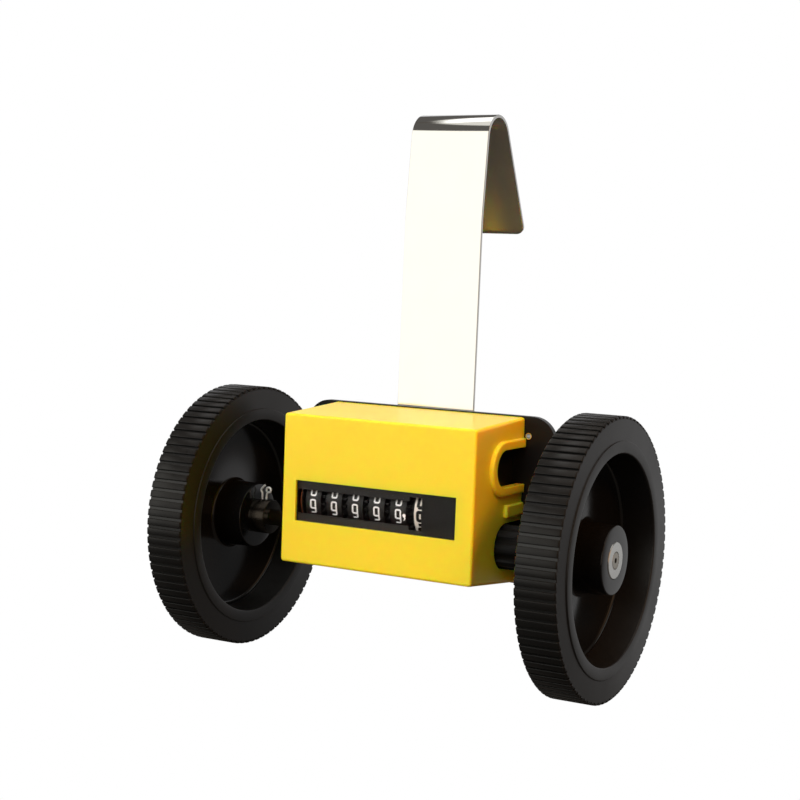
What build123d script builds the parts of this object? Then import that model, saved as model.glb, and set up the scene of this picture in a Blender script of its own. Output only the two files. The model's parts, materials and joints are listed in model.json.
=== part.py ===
from build123d import *
import os
from math import atan2, cos, degrees, pi, radians, sin, sqrt

# Cable length counter: two 300 mm measuring wheels on one axle drive a six wheel
# counter in a yellow case, which hangs on a spring steel hook.
# X runs along the axle, +Y to the back, +Z up; the origin lies on the axle, midway
# between the wheels. Every length is in millimetres.

os.makedirs("parts", exist_ok=True)

# ---- fits ----
RUN = 0.04               # radial clearance of a shaft in its bearing
FREE = 0.4               # radial clearance round a shaft that must not touch
SEAT = 0.1               # clearance of the lens and mask in their pocket
PLAY = 0.2               # end play of pieces that turn side by side
HUB_WALL = 1.4           # wall of a gear hub round its shaft

# ---- measuring wheels ----
WHEEL_R = 47.75          # 300 mm round the rim
WHEEL_W = 15.0
WHEEL_IN = 63.5          # inner face of each wheel from the middle of the axle
TREAD_GROOVES = 90
GROOVE_W, GROOVE_D = 1.0, 0.8
RIM_STEP_W, RIM_STEP = 8.15, 0.4      # the flange is set back in this outer ring
RIM_STEP_R = WHEEL_R - RIM_STEP_W
FLANGE_W, DISH_DRAFT, DISH_D = 4.2, 0.8, 12.0
DISH_R = RIM_STEP_R - FLANGE_W
RIM_CHAMFER = 0.5

# ---- axle and its pinned bushes ----
AXLE_R = 3.0
AXLE_END = WHEEL_IN + WHEEL_W
AXLE_CHAMFER = 0.3
CENTRE_DRILL_R, CENTRE_DRILL_D = 0.9, 1.6
BUSH_R = AXLE_R + 3.3
BUSH_REACH = 6.3         # how far each bush stands out on the inside of its wheel
BUSH_IN = WHEEL_IN - BUSH_REACH
WHEEL_HUB_R, HUB_DRAFT, HUB_SETBACK = BUSH_R + 5.3, 0.6, 0.25
PIN_X = BUSH_IN + 3.7    # split pin across the bush
PIN_R, PIN_HOLE_R = 0.9, 1.0
PIN_TIP, PIN_LEG, PIN_LEG_R, PIN_SPREAD = 0.6, 4.2, 0.4, 0.35

# ---- yellow cover ----
FRONT_Y, BACK_Y = -24.0, 11.3
FRONT_HALF, FRONT_LOW, FRONT_TOP = 37.5, -10.6, 41.6
SIDE_DRAFT, LOW_DRAFT, TOP_DRAFT = 0.7, 3.4, 2.0       # growth from front to back
BACK_HALF = FRONT_HALF + SIDE_DRAFT
BACK_LOW, BACK_TOP = FRONT_LOW - LOW_DRAFT, FRONT_TOP + TOP_DRAFT
COVER_WALL = 2.2
COVER_CORNER, COVER_EDGE, INNER_CORNER = 1.2, 0.9, 0.8
WINDOW_L, WINDOW_R = -FRONT_HALF + 5.5, FRONT_HALF - 6.6
WINDOW_LOW, WINDOW_TOP = 4.2, 18.5
POCKET_EDGE, POCKET_D = 1.5, 1.0
LENS_T, LENS_FLANGE_T, MASK_T = 0.8, 0.5, 0.4
BOSS_R, LOW_BOSS_R = 3.0, 2.4

# ---- base frame: plate, cheeks and inner bearing wall ----
CHEEK_T, CHEEK_SIDE_GAP = 1.8, 1.3
CHEEK_OUT = FRONT_HALF - COVER_WALL - CHEEK_SIDE_GAP
CHEEK_IN = CHEEK_OUT - CHEEK_T
CHEEK_GAP, CHEEK_FRONT_GAP = 0.6, 1.4
CHEEK_FRONT = FRONT_Y + COVER_WALL + CHEEK_FRONT_GAP
CHEEK_LOW = FRONT_LOW + COVER_WALL + CHEEK_GAP
CHEEK_TOP = FRONT_TOP - COVER_WALL - CHEEK_GAP
CHEEK_LOW_SPREAD, CHEEK_TOP_SPREAD, CHEEK_CORNER = 2.2, 1.4, 2.5
EYELET_R, EYELET_FLANGE, EYELET_FLANGE_T, EYELET_BORE = 1.0, 1.15, 0.5, 0.8
EYELET_X = BACK_HALF + EYELET_FLANGE + 0.75
PLATE_HALF = EYELET_X + 9.9
PLATE_T, PLATE_CORNER, PLATE_CHAMFER = 3.0, 9.0, 0.5
PLATE_LOW, PLATE_TOP = BACK_LOW - 0.5, BACK_TOP + 0.4
EYELET_LOW, EYELET_TOP = PLATE_LOW + 6.5, PLATE_TOP - 6.8
BEARING_R, BEARING_FLANGE, BEARING_FLANGE_T = AXLE_R + 1.5, 1.0, 0.8
SCREW_R, SCREW_HEAD_R, SCREW_HEAD_T, SCREW_LEN = 1.2, 2.4, 1.5, 9.0
SCREW_TIP_GAP, CROSS_LONG, CROSS_WIDE, CROSS_DEEP = 0.5, 2.6, 0.6, 0.8

# ---- gear train: axle 15, idler 20 and 12, counter 30 teeth ----
TRAIN_MODULE = 0.6
AXLE_TEETH, IDLER_TEETH, IDLER_SMALL, DRUM_TEETH = 15, 20, 12, 30
RESET_MODULE, RESET_TEETH = 0.8, 20
CARRY_TEETH = 8
BACKLASH = 0.16          # taken off the thickness of each tooth
FLANK_SLOPE = 0.36
RESET_HUB_END = CHEEK_IN - 0.3
RESET_GEAR_W = 2.4
RESET_GEAR_X = RESET_HUB_END - 1.0 - RESET_GEAR_W
WALL_T = 2.0
WALL_OUT = RESET_GEAR_X - 1.9
WALL_IN = WALL_OUT - WALL_T
TRAIN_W = 2.0
AXLE_GEAR_X = WALL_IN - 1.2 - TRAIN_W - 2 * PLAY
IDLER_X = AXLE_GEAR_X + PLAY
IDLER_SMALL_X = IDLER_X - 2.65
DRUM_GEAR_X = IDLER_SMALL_X + 0.1
IDLER_PIN_R, IDLER_PIN_HEAD, IDLER_PIN_HEAD_T = 1.25, 2.0, 0.8

# ---- number wheels, spread evenly between the left cheek and the train ----
DRUM_R, DRUM_COUNT = 9.7, 6
LAST_DRUM_L, LAST_DRUM_R = 2.3, 2.2     # the white wheel is narrower than the others
DRUM_FIRST_X = -CHEEK_IN + 5.7
DRUM_LAST_X = DRUM_GEAR_X - 0.45 - LAST_DRUM_R
DRUM_PITCH = (DRUM_LAST_X - DRUM_FIRST_X) / (DRUM_COUNT - 1)
DRUM_GAP = 2.4           # between two number wheels, for the carry pinion
DRUM_W = DRUM_PITCH - DRUM_GAP
SHAFT_R = 2.0
DRUM_HUB_R = SHAFT_R + 1.2
DRUM_RIM_T, DRUM_WEB = 1.5, 1.8
RING_W, RING_GAP = 1.05, 0.1            # toothed ring on the right of each number wheel
CARRY_TOOTH, CARRY_TOOTH_REACH = 0.9, 0.5
CARRY_SHAFT_R = 1.0
CARRY_ANGLE = 60.0
SHAFT_END = CHEEK_OUT + 1.0
CLIP_X, CLIP_T, CLIP_R = CHEEK_OUT + 0.15, 0.6, SHAFT_R + 1.4
SPACER_R, SPACER_T, SPACER_HUB_R, SPACER_HUB_T, SPACER_PLAY = 9.4, 0.7, 4.5, 0.4, 0.45
LAST_LEFT = DRUM_LAST_X - LAST_DRUM_L
LAST_RIGHT = DRUM_LAST_X + LAST_DRUM_R
MASK_WIDE = (WINDOW_L + 0.1, LAST_LEFT - 1.1, 6.2, 15.3)     # left, right, low and top
MASK_LAST = (LAST_LEFT - 1.2, LAST_RIGHT - 2.1, 5.2, 16.8)

# ---- case screws and hook: the strap lies between the two upper screws ----
SCREW_TOP_Z, SCREW_LOW_Z = FRONT_TOP - 7.6, FRONT_LOW + 3.4
SCREW_LEFT_X, SCREW_RIGHT_X = -CHEEK_IN + 8.2, WALL_IN - BOSS_R - 1.6
SCREW_SPOTS = [(SCREW_LEFT_X, SCREW_TOP_Z), (SCREW_RIGHT_X, SCREW_TOP_Z), (0.0, SCREW_LOW_Z)]
HOOK_X, HOOK_T = 1.3, 1.2
HOOK_W = 2 * (SCREW_RIGHT_X - SCREW_HEAD_R - 0.95 - HOOK_X)
HOOK_FOOT, HOOK_NECK_Z, HOOK_BEND_Z = 3.0, 112.0, 140.7
HOOK_NECK_Y, HOOK_BEND_Y, HOOK_LEG_R = 0.7, 3.1, 60.0   # how far the leg leans back there
HOOK_BEND_R, HOOK_SPLAY, HOOK_TAIL, HOOK_CORNER = 8.1, 26.0, 40.0, 3.0
RIVET_R, RIVET_HEAD_R, RIVET_HEAD_T, RIVET_TAIL_T = 1.5, 2.8, 1.0, 0.6
RIVET_EDGE, RIVET_LOW, RIVET_TOP = 0.7, 10.0, 36.0

# ---- reset knob and the openings beside it ----
SLEEVE_BORE = AXLE_R + FREE
SLEEVE_R = SLEEVE_BORE + 1.6
SLEEVE_X = RESET_GEAR_X - 0.3
KNOB_X, KNOB_LEN, KNOB_R, KNOB_CHAMFER = CHEEK_OUT + 1.5, 11.0, 7.6, 0.8
KNOB_FLUTES, FLUTE_R, FLUTE_OUT = 8, 2.0, 0.9
AXLE_SLOT_R, KNOB_SLOT_R = AXLE_R + 2.6, KNOB_R + FREE
PORT_Y, PORT_Z, PORT_R = -4.3, 27.0, 6.5        # side port, open to the back
PORT_RIB, PORT_RIB_OUT, RIB_SINK, RIB_EDGE = 3.0, 1.8, 0.9, 0.7
PORT_RIB_X = FRONT_HALF + PORT_RIB_OUT
PAD_FRONT, PAD_TALL, PAD_CORNER = -2.0, 4.5, 0.8
PAD_LOW = KNOB_SLOT_R + 1.9
PAD_TOP = PAD_LOW + PAD_TALL
SIDE_CUT_X = CHEEK_OUT + 0.5     # the side cuts start outside the cheeks
PAST = 0.5                       # how far a cut runs past what it cuts


def pitch_radius(teeth, module):
    """Pitch circle radius of a gear."""
    return teeth * module / 2


def gear_face(teeth, module, bore=0):
    """Spur gear outline round the origin with one tooth on the local X axis."""
    pitch = pitch_radius(teeth, module)
    tip, root = pitch + 0.8 * module, pitch - 1.2 * module
    half = pi * module / 4 - BACKLASH / 2
    tip_half = half - FLANK_SLOPE * 0.8 * module
    root_half = half + FLANK_SLOPE * 0.9 * module
    with BuildSketch() as face:
        Circle(root)
        with PolarLocations(0, teeth):
            Polygon(
                (root * 0.93, -root_half),
                (tip, -tip_half),
                (tip, tip_half),
                (root * 0.93, root_half),
                align=None,
            )
        if bore:
            Circle(bore, mode=Mode.SUBTRACT)
    return face.sketch


def slot_face(centre_y, centre_z, radius, back_y):
    """Slot that is round in front and open to the back, as a face in Y and Z."""
    with BuildSketch() as face:
        with Locations((centre_y, centre_z)):
            Circle(radius)
        with Locations(((centre_y + back_y) / 2, centre_z)):
            Rectangle(back_y - centre_y, 2 * radius)
    return face.sketch


def cheek_face(front, low, top):
    """Outline of the walls that carry the shafts, in Y and Z."""
    with BuildSketch() as face:
        Polygon(
            (front, low),
            (BACK_Y, low - CHEEK_LOW_SPREAD),
            (BACK_Y, top + CHEEK_TOP_SPREAD),
            (front, top),
            align=None,
        )
        fillet(face.vertices().sort_by(Axis.X)[:2], radius=CHEEK_CORNER)
    return face.sketch


# shaft centres in Y and Z
TRAIN_REACH = pitch_radius(AXLE_TEETH, TRAIN_MODULE) + pitch_radius(IDLER_TEETH, TRAIN_MODULE)
IDLER_REACH = pitch_radius(IDLER_SMALL, TRAIN_MODULE) + pitch_radius(DRUM_TEETH, TRAIN_MODULE)
DRUM_REACH = 2 * pitch_radius(RESET_TEETH, RESET_MODULE)
DRUM_YZ = (-DRUM_REACH * cos(radians(45)), DRUM_REACH * sin(radians(45)))
ALONG = (DRUM_REACH**2 + TRAIN_REACH**2 - IDLER_REACH**2) / (2 * DRUM_REACH)
ASIDE = sqrt(TRAIN_REACH**2 - ALONG**2)
IDLER_YZ = ((ASIDE - ALONG) * cos(radians(45)), (ASIDE + ALONG) * sin(radians(45)))
CARRY_REACH = pitch_radius(RESET_TEETH, RESET_MODULE) + pitch_radius(CARRY_TEETH, RESET_MODULE)
CARRY_YZ = (
    DRUM_YZ[0] + CARRY_REACH * cos(radians(CARRY_ANGLE)),
    DRUM_YZ[1] + CARRY_REACH * sin(radians(CARRY_ANGLE)),
)
DRUM_CENTRES = [DRUM_FIRST_X + DRUM_PITCH * k for k in range(DRUM_COUNT)]

# turns that bring each pair of gears into mesh, in degrees about X
TRAIN_ANGLE = degrees(atan2(IDLER_YZ[1], IDLER_YZ[0]))
IDLER_ANGLE = degrees(atan2(DRUM_YZ[1] - IDLER_YZ[1], DRUM_YZ[0] - IDLER_YZ[0]))
RESET_ANGLE = 135.0

axle_gear_face = gear_face(AXLE_TEETH, TRAIN_MODULE, AXLE_R)
idler_face = gear_face(IDLER_TEETH, TRAIN_MODULE, IDLER_PIN_R + RUN)
idler_small_face = gear_face(IDLER_SMALL, TRAIN_MODULE, IDLER_PIN_R + RUN)
drum_gear_face = gear_face(DRUM_TEETH, TRAIN_MODULE)
ring_face = gear_face(RESET_TEETH, RESET_MODULE)
reset_gear_face = gear_face(RESET_TEETH, RESET_MODULE, SHAFT_R)
knob_gear_face = gear_face(RESET_TEETH, RESET_MODULE, SLEEVE_R)
carry_face = gear_face(CARRY_TEETH, RESET_MODULE, CARRY_SHAFT_R + RUN)
wall_face = cheek_face(CHEEK_FRONT, CHEEK_LOW, CHEEK_TOP)
port_rib_face = slot_face(PORT_Y, PORT_Z, PORT_R + PORT_RIB, BACK_Y)
port_face = slot_face(PORT_Y, PORT_Z, PORT_R, BACK_Y + PAST)
axle_slot_face = slot_face(0, 0, AXLE_SLOT_R, BACK_Y + PAST)
knob_slot_face = slot_face(0, 0, KNOB_SLOT_R, BACK_Y + PAST)

# ---- front_cover: drafted moulding, open at the back ----
MID_FRONT, MID_BACK = (FRONT_LOW + FRONT_TOP) / 2, (BACK_LOW + BACK_TOP) / 2
TALL_FRONT, TALL_BACK = FRONT_TOP - FRONT_LOW, BACK_TOP - BACK_LOW
with BuildPart() as front_cover:
    with BuildSketch(Plane.XZ.offset(-FRONT_Y)):
        with Locations((0, MID_FRONT)):
            RectangleRounded(2 * FRONT_HALF, TALL_FRONT, COVER_CORNER)
    with BuildSketch(Plane.XZ.offset(-BACK_Y)):
        with Locations((0, MID_BACK)):
            RectangleRounded(2 * BACK_HALF, TALL_BACK, COVER_CORNER)
    loft()
    fillet(front_cover.faces().sort_by(Axis.Y)[0].edges(), radius=COVER_EDGE)
    with BuildSketch(Plane.YZ.offset(FRONT_HALF - RIB_SINK)):
        add(port_rib_face)
        with Locations(((PAD_FRONT + BACK_Y) / 2, (PAD_LOW + PAD_TOP) / 2)):
            RectangleRounded(BACK_Y - PAD_FRONT, PAD_TALL, PAD_CORNER)
    extrude(amount=PORT_RIB_OUT + RIB_SINK)
    fillet(front_cover.faces().filter_by(Plane.YZ).sort_by(Axis.X)[-2:].edges(), radius=RIB_EDGE)
    with BuildSketch(Plane.XZ.offset(-FRONT_Y - COVER_WALL)):
        with Locations((0, MID_FRONT)):
            RectangleRounded(
                2 * (FRONT_HALF - COVER_WALL), TALL_FRONT - 2 * COVER_WALL, INNER_CORNER
            )
    with BuildSketch(Plane.XZ.offset(-BACK_Y)):
        with Locations((0, MID_BACK)):
            RectangleRounded(
                2 * (BACK_HALF - COVER_WALL), TALL_BACK - 2 * COVER_WALL, INNER_CORNER
            )
    loft(mode=Mode.SUBTRACT)
    # window with a pocket behind it for the lens and the mask
    WINDOW_MID = ((WINDOW_L + WINDOW_R) / 2, (WINDOW_LOW + WINDOW_TOP) / 2)
    WINDOW_SIZE = (WINDOW_R - WINDOW_L, WINDOW_TOP - WINDOW_LOW)
    with BuildSketch(Plane.XZ.offset(-FRONT_Y)):
        with Locations(WINDOW_MID):
            Rectangle(*WINDOW_SIZE)
    extrude(amount=-COVER_WALL, mode=Mode.SUBTRACT)
    with BuildSketch(Plane.XZ.offset(-FRONT_Y - COVER_WALL)):
        with Locations(WINDOW_MID):
            Rectangle(WINDOW_SIZE[0] + 2 * POCKET_EDGE, WINDOW_SIZE[1] + 2 * POCKET_EDGE)
    extrude(amount=POCKET_D, mode=Mode.SUBTRACT)
    # bosses for the three case screws
    with BuildSketch(Plane.XZ.offset(-FRONT_Y - COVER_WALL)):
        with Locations(*SCREW_SPOTS[:2]):
            Circle(BOSS_R)
        with Locations(SCREW_SPOTS[2]):
            Circle(LOW_BOSS_R)
    extrude(amount=-(BACK_Y - FRONT_Y - COVER_WALL))
    with BuildSketch(Plane.XZ.offset(-BACK_Y)):
        with Locations(*SCREW_SPOTS):
            Circle(SCREW_R)
    extrude(amount=SCREW_LEN - PLATE_T + SCREW_TIP_GAP, mode=Mode.SUBTRACT)
    # side port and knob slot on the right, axle slot on the left
    with BuildSketch(Plane.YZ.offset(SIDE_CUT_X)):
        add(port_face)
        add(knob_slot_face)
    extrude(amount=PORT_RIB_X, mode=Mode.SUBTRACT)
    with BuildSketch(Plane.YZ.offset(-SIDE_CUT_X)):
        add(axle_slot_face)
    extrude(amount=-PORT_RIB_X, mode=Mode.SUBTRACT)
front_cover.part.label = "front_cover"
export_step(front_cover.part, "parts/front_cover.step")

# ---- window_lens: clear plate with a flange behind the window ----
POCKET_Y = FRONT_Y + COVER_WALL - POCKET_D
with BuildPart() as window_lens:
    with BuildSketch(Plane.XZ.offset(-POCKET_Y)):
        with Locations(WINDOW_MID):
            Rectangle(WINDOW_SIZE[0] - SEAT, WINDOW_SIZE[1] - SEAT)
    extrude(amount=LENS_T)
    with BuildSketch(Plane.XZ.offset(-POCKET_Y)):
        with Locations(WINDOW_MID):
            Rectangle(
                WINDOW_SIZE[0] + 2 * POCKET_EDGE - SEAT, WINDOW_SIZE[1] + 2 * POCKET_EDGE - SEAT
            )
    extrude(amount=-LENS_FLANGE_T)
window_lens.part.label = "window_lens"
export_step(window_lens.part, "parts/window_lens.step")

# ---- window_mask: black sheet, open in front of the number wheels ----
with BuildPart() as window_mask:
    with BuildSketch(Plane.XZ.offset(-POCKET_Y - LENS_FLANGE_T)):
        with Locations(WINDOW_MID):
            Rectangle(
                WINDOW_SIZE[0] + 2 * POCKET_EDGE - SEAT, WINDOW_SIZE[1] + 2 * POCKET_EDGE - SEAT
            )
        for left, right, low, top in (MASK_WIDE, MASK_LAST):
            with Locations(((left + right) / 2, (low + top) / 2)):
                Rectangle(right - left, top - low, mode=Mode.SUBTRACT)
    extrude(amount=-MASK_T)
window_mask.part.label = "window_mask"
export_step(window_mask.part, "parts/window_mask.step")

# ---- base_frame: back plate with two cheeks and an inner bearing wall ----
PLATE_MID_Z = (PLATE_LOW + PLATE_TOP) / 2
RIVET_SPOTS = [(HOOK_X, RIVET_LOW), (HOOK_X, RIVET_TOP)]
EYELET_SPOTS = [
    (side * EYELET_X, height) for side in (-1, 1) for height in (EYELET_LOW, EYELET_TOP)
]
with BuildPart() as base_frame:
    with BuildSketch(Plane.XZ.offset(-BACK_Y)):
        with Locations((0, PLATE_MID_Z)):
            RectangleRounded(2 * PLATE_HALF, PLATE_TOP - PLATE_LOW, PLATE_CORNER)
        with Locations(*SCREW_SPOTS):
            Circle(SCREW_R, mode=Mode.SUBTRACT)
        with Locations(*RIVET_SPOTS):
            Circle(RIVET_R, mode=Mode.SUBTRACT)
        with Locations(*EYELET_SPOTS):
            Circle(EYELET_R, mode=Mode.SUBTRACT)
    extrude(amount=-PLATE_T)
    chamfer(base_frame.faces().sort_by(Axis.Y)[-1].outer_wire().edges(), length=PLATE_CHAMFER)
    for start, width in (
        (-CHEEK_OUT, CHEEK_T),
        (WALL_IN, WALL_T),
        (CHEEK_IN, CHEEK_T),
    ):
        with BuildSketch(Plane.YZ.offset(start)):
            add(wall_face)
            with Locations(DRUM_YZ):
                Circle(SHAFT_R + RUN, mode=Mode.SUBTRACT)
            with Locations(CARRY_YZ):
                Circle(CARRY_SHAFT_R, mode=Mode.SUBTRACT)
        extrude(amount=width)
    with BuildSketch(Plane.YZ.offset(-CHEEK_OUT)):
        Circle(BEARING_R)
    extrude(amount=CHEEK_T, mode=Mode.SUBTRACT)
    with BuildSketch(Plane.YZ.offset(WALL_IN)):
        Circle(BEARING_R)
        with Locations(IDLER_YZ):
            Circle(IDLER_PIN_R)
    extrude(amount=WALL_T, mode=Mode.SUBTRACT)
    with BuildSketch(Plane.YZ.offset(CHEEK_IN)):
        Circle(SLEEVE_R + RUN)
    extrude(amount=CHEEK_T, mode=Mode.SUBTRACT)
base_frame.part.label = "base_frame"
export_step(base_frame.part, "parts/base_frame.step")

# ---- left_bearing and inner_bearing: flanged bronze bushes of the axle ----
for name, seat, inner in (
    ("left_bearing", -CHEEK_IN, -CHEEK_OUT - 1.0),
    ("inner_bearing", WALL_OUT, WALL_IN - 0.4),
):
    with BuildPart() as bearing:
        with BuildSketch(Plane.YZ.offset(inner)):
            Circle(BEARING_R)
        extrude(amount=seat - inner)
        with BuildSketch(Plane.YZ.offset(seat)):
            Circle(BEARING_R + BEARING_FLANGE)
        extrude(amount=BEARING_FLANGE_T)
        with BuildSketch(Plane.YZ.offset(inner)):
            Circle(AXLE_R + RUN)
        extrude(amount=seat + BEARING_FLANGE_T - inner, mode=Mode.SUBTRACT)
    bearing.part.label = name
    export_step(bearing.part, f"parts/{name}.step")

# ---- case_screws: three from behind into the bosses of the cover ----
with BuildPart() as case_screws:
    with BuildSketch(Plane.XZ.offset(-BACK_Y - PLATE_T)):
        with Locations(*SCREW_SPOTS):
            Circle(SCREW_HEAD_R)
    extrude(amount=-SCREW_HEAD_T)
    chamfer(case_screws.faces().sort_by(Axis.Y)[-3:].edges(), length=0.4)
    with BuildSketch(Plane.XZ.offset(-BACK_Y - PLATE_T)):
        with Locations(*SCREW_SPOTS):
            Circle(SCREW_R)
    extrude(amount=SCREW_LEN)
    for turn in (0, 90):
        with BuildSketch(Plane.XZ.offset(-BACK_Y - PLATE_T - SCREW_HEAD_T)):
            with Locations(*SCREW_SPOTS):
                Rectangle(CROSS_LONG, CROSS_WIDE, rotation=turn)
        extrude(amount=CROSS_DEEP, mode=Mode.SUBTRACT)
case_screws.part.label = "case_screws"
export_step(case_screws.part, "parts/case_screws.step")

# ---- plate_eyelets: metal eyelets in the four mounting holes ----
with BuildPart() as plate_eyelets:
    for y, depth, radius in (
        (BACK_Y - EYELET_FLANGE_T, EYELET_FLANGE_T, EYELET_FLANGE),
        (BACK_Y, PLATE_T, EYELET_R),
        (BACK_Y + PLATE_T, EYELET_FLANGE_T, EYELET_FLANGE),
    ):
        with BuildSketch(Plane.XZ.offset(-y)):
            with Locations(*EYELET_SPOTS):
                Circle(radius)
                Circle(EYELET_BORE, mode=Mode.SUBTRACT)
        extrude(amount=-depth)
plate_eyelets.part.label = "plate_eyelets"
export_step(plate_eyelets.part, "parts/plate_eyelets.step")

# ---- hook_strap: one strip of spring steel, bent over at the top ----
STRAP_Y = BACK_Y + PLATE_T + HOOK_T / 2
with BuildPart() as hook_strap:
    with BuildLine(Plane.YZ) as strap_line:
        leg = FilletPolyline(
            (STRAP_Y, HOOK_FOOT),
            (STRAP_Y, PLATE_TOP),
            (STRAP_Y + HOOK_NECK_Y, HOOK_NECK_Z),
            (STRAP_Y + HOOK_BEND_Y, HOOK_BEND_Z),
            radius=HOOK_LEG_R,
        )
        lean = degrees(atan2(HOOK_BEND_Y - HOOK_NECK_Y, HOOK_BEND_Z - HOOK_NECK_Z))
        bend = JernArc(
            start=leg @ 1,
            tangent=leg % 1,
            radius=HOOK_BEND_R,
            arc_size=-(180 - HOOK_SPLAY - lean),
        )
        tail = PolarLine(bend @ 1, HOOK_TAIL, direction=bend % 1)
    with BuildSketch(Plane.XY.offset(HOOK_FOOT)):
        with Locations((HOOK_X, STRAP_Y)):
            Rectangle(HOOK_W, HOOK_T)
    sweep(path=strap_line.wires()[0])
    tail_middle = tail @ 0.5
    corners = hook_strap.edges().filter_by(
        lambda edge: abs(edge.length - HOOK_T) < HOOK_T / 50
        and (edge.center().Z < HOOK_FOOT + HOOK_CORNER or edge.center().Y > tail_middle.Y)
    )
    fillet(corners, radius=HOOK_CORNER)
    with BuildSketch(Plane.XZ.offset(-BACK_Y - PLATE_T)):
        with Locations(*RIVET_SPOTS):
            Circle(RIVET_R)
    extrude(amount=-HOOK_T, mode=Mode.SUBTRACT)
hook_strap.part.label = "hook_strap"
export_step(hook_strap.part, "parts/hook_strap.step")

# ---- strap_rivets: two rivets through the strap and the back plate ----
with BuildPart() as strap_rivets:
    with BuildSketch(Plane.XZ.offset(-BACK_Y)):
        with Locations(*RIVET_SPOTS):
            Circle(RIVET_R)
    extrude(amount=-(PLATE_T + HOOK_T))
    with BuildSketch(Plane.XZ.offset(-BACK_Y - PLATE_T - HOOK_T)):
        with Locations(*RIVET_SPOTS):
            Circle(RIVET_HEAD_R)
    extrude(amount=-RIVET_HEAD_T)
    fillet(strap_rivets.faces().sort_by(Axis.Y)[-2:].edges(), radius=RIVET_EDGE)
    with BuildSketch(Plane.XZ.offset(-BACK_Y)):
        with Locations(*RIVET_SPOTS):
            Circle(RIVET_HEAD_R)
    extrude(amount=RIVET_TAIL_T)
strap_rivets.part.label = "strap_rivets"
export_step(strap_rivets.part, "parts/strap_rivets.step")

# ---- axle: plain rod with centre drilled ends and two cross holes ----
with BuildPart() as axle:
    with BuildSketch(Plane.YZ.offset(-AXLE_END)):
        Circle(AXLE_R)
    extrude(amount=2 * AXLE_END)
    chamfer(axle.edges().filter_by(GeomType.CIRCLE), length=AXLE_CHAMFER)
    for side in (-1, 1):
        with BuildSketch(Plane.YZ.offset(side * AXLE_END)):
            Circle(CENTRE_DRILL_R)
        extrude(amount=-side * CENTRE_DRILL_D, mode=Mode.SUBTRACT)
        with BuildSketch(Plane.XY.offset(-AXLE_R - PAST)):
            with Locations((side * PIN_X, 0)):
                Circle(PIN_HOLE_R)
        extrude(amount=2 * (AXLE_R + PAST), mode=Mode.SUBTRACT)
axle.part.label = "axle"
export_step(axle.part, "parts/axle.step")

# ---- left_bush and right_bush: steel bushes that pin the wheels to the axle ----
for name, side in (("left_bush", -1), ("right_bush", 1)):
    with BuildPart() as bush:
        with BuildSketch(Plane.YZ.offset(side * BUSH_IN)):
            Circle(BUSH_R)
            Circle(AXLE_R, mode=Mode.SUBTRACT)
        extrude(amount=side * (AXLE_END - BUSH_IN))
        outer = bush.edges().filter_by(GeomType.CIRCLE).filter_by(
            lambda edge: edge.radius > (AXLE_R + BUSH_R) / 2
        )
        chamfer(outer, length=AXLE_CHAMFER)
        with BuildSketch(Plane.XY.offset(-BUSH_R - PAST)):
            with Locations((side * PIN_X, 0)):
                Circle(PIN_HOLE_R)
        extrude(amount=2 * (BUSH_R + PAST), mode=Mode.SUBTRACT)
    bush.part.label = name
    export_step(bush.part, f"parts/{name}.step")

# ---- left_split_pin: straight through the bush, its two legs spread above ----
with BuildPart() as left_split_pin:
    with BuildSketch(Plane.XY.offset(-BUSH_R - PIN_TIP)):
        with Locations((-PIN_X, 0)):
            Circle(PIN_R)
    extrude(amount=2 * (BUSH_R + PIN_TIP))
    for lean in (-1, 1):
        leg_foot = Vector(-PIN_X + lean * PIN_LEG_R, 0, BUSH_R)
        leg_way = Vector(lean * PIN_SPREAD, 0, 1).normalized()
        with BuildSketch(Plane(origin=leg_foot, z_dir=leg_way)):
            Circle(PIN_LEG_R)
        extrude(amount=PIN_LEG)
left_split_pin.part.label = "left_split_pin"
export_step(left_split_pin.part, "parts/left_split_pin.step")

# ---- right_split_pin: the same pin through the other bush ----
with BuildPart() as right_split_pin:
    with Locations((2 * PIN_X, 0, 0)):
        add(left_split_pin.part)
right_split_pin.part.label = "right_split_pin"
export_step(right_split_pin.part, "parts/right_split_pin.step")

# ---- left_wheel: dished moulding with a grooved tread ----
DISH_X = WHEEL_W - AXLE_END
with BuildPart() as left_wheel:
    with BuildSketch(Plane.YZ.offset(-AXLE_END)):
        Circle(WHEEL_R)
    extrude(amount=WHEEL_W)
    chamfer(left_wheel.edges().filter_by(GeomType.CIRCLE), length=RIM_CHAMFER)
    with BuildSketch(Plane.YZ.offset(-AXLE_END)):
        with PolarLocations(WHEEL_R - (GROOVE_D - PAST) / 2, TREAD_GROOVES):
            Rectangle(GROOVE_D + PAST, GROOVE_W)
    extrude(amount=WHEEL_W, mode=Mode.SUBTRACT)
    for side_x, inward in ((-AXLE_END, 1), (DISH_X, -1)):
        with BuildSketch(Plane.YZ.offset(side_x)):
            Circle(WHEEL_R + PAST)
            Circle(RIM_STEP_R, mode=Mode.SUBTRACT)
        extrude(amount=inward * RIM_STEP, mode=Mode.SUBTRACT)
    with BuildSketch(Plane.XY):
        Polygon(
            (DISH_X, WHEEL_HUB_R),
            (DISH_X - DISH_D, WHEEL_HUB_R + HUB_DRAFT),
            (DISH_X - DISH_D, DISH_R - DISH_DRAFT),
            (DISH_X, DISH_R),
            align=None,
        )
    revolve(axis=Axis.X, mode=Mode.SUBTRACT)
    with BuildSketch(Plane.YZ.offset(DISH_X)):
        Circle(WHEEL_HUB_R + PAST)
    extrude(amount=-HUB_SETBACK, mode=Mode.SUBTRACT)
    with BuildSketch(Plane.YZ.offset(-AXLE_END)):
        Circle(BUSH_R)
    extrude(amount=WHEEL_W, mode=Mode.SUBTRACT)
left_wheel.part.label = "left_wheel"
export_step(left_wheel.part, "parts/left_wheel.step")

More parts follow.
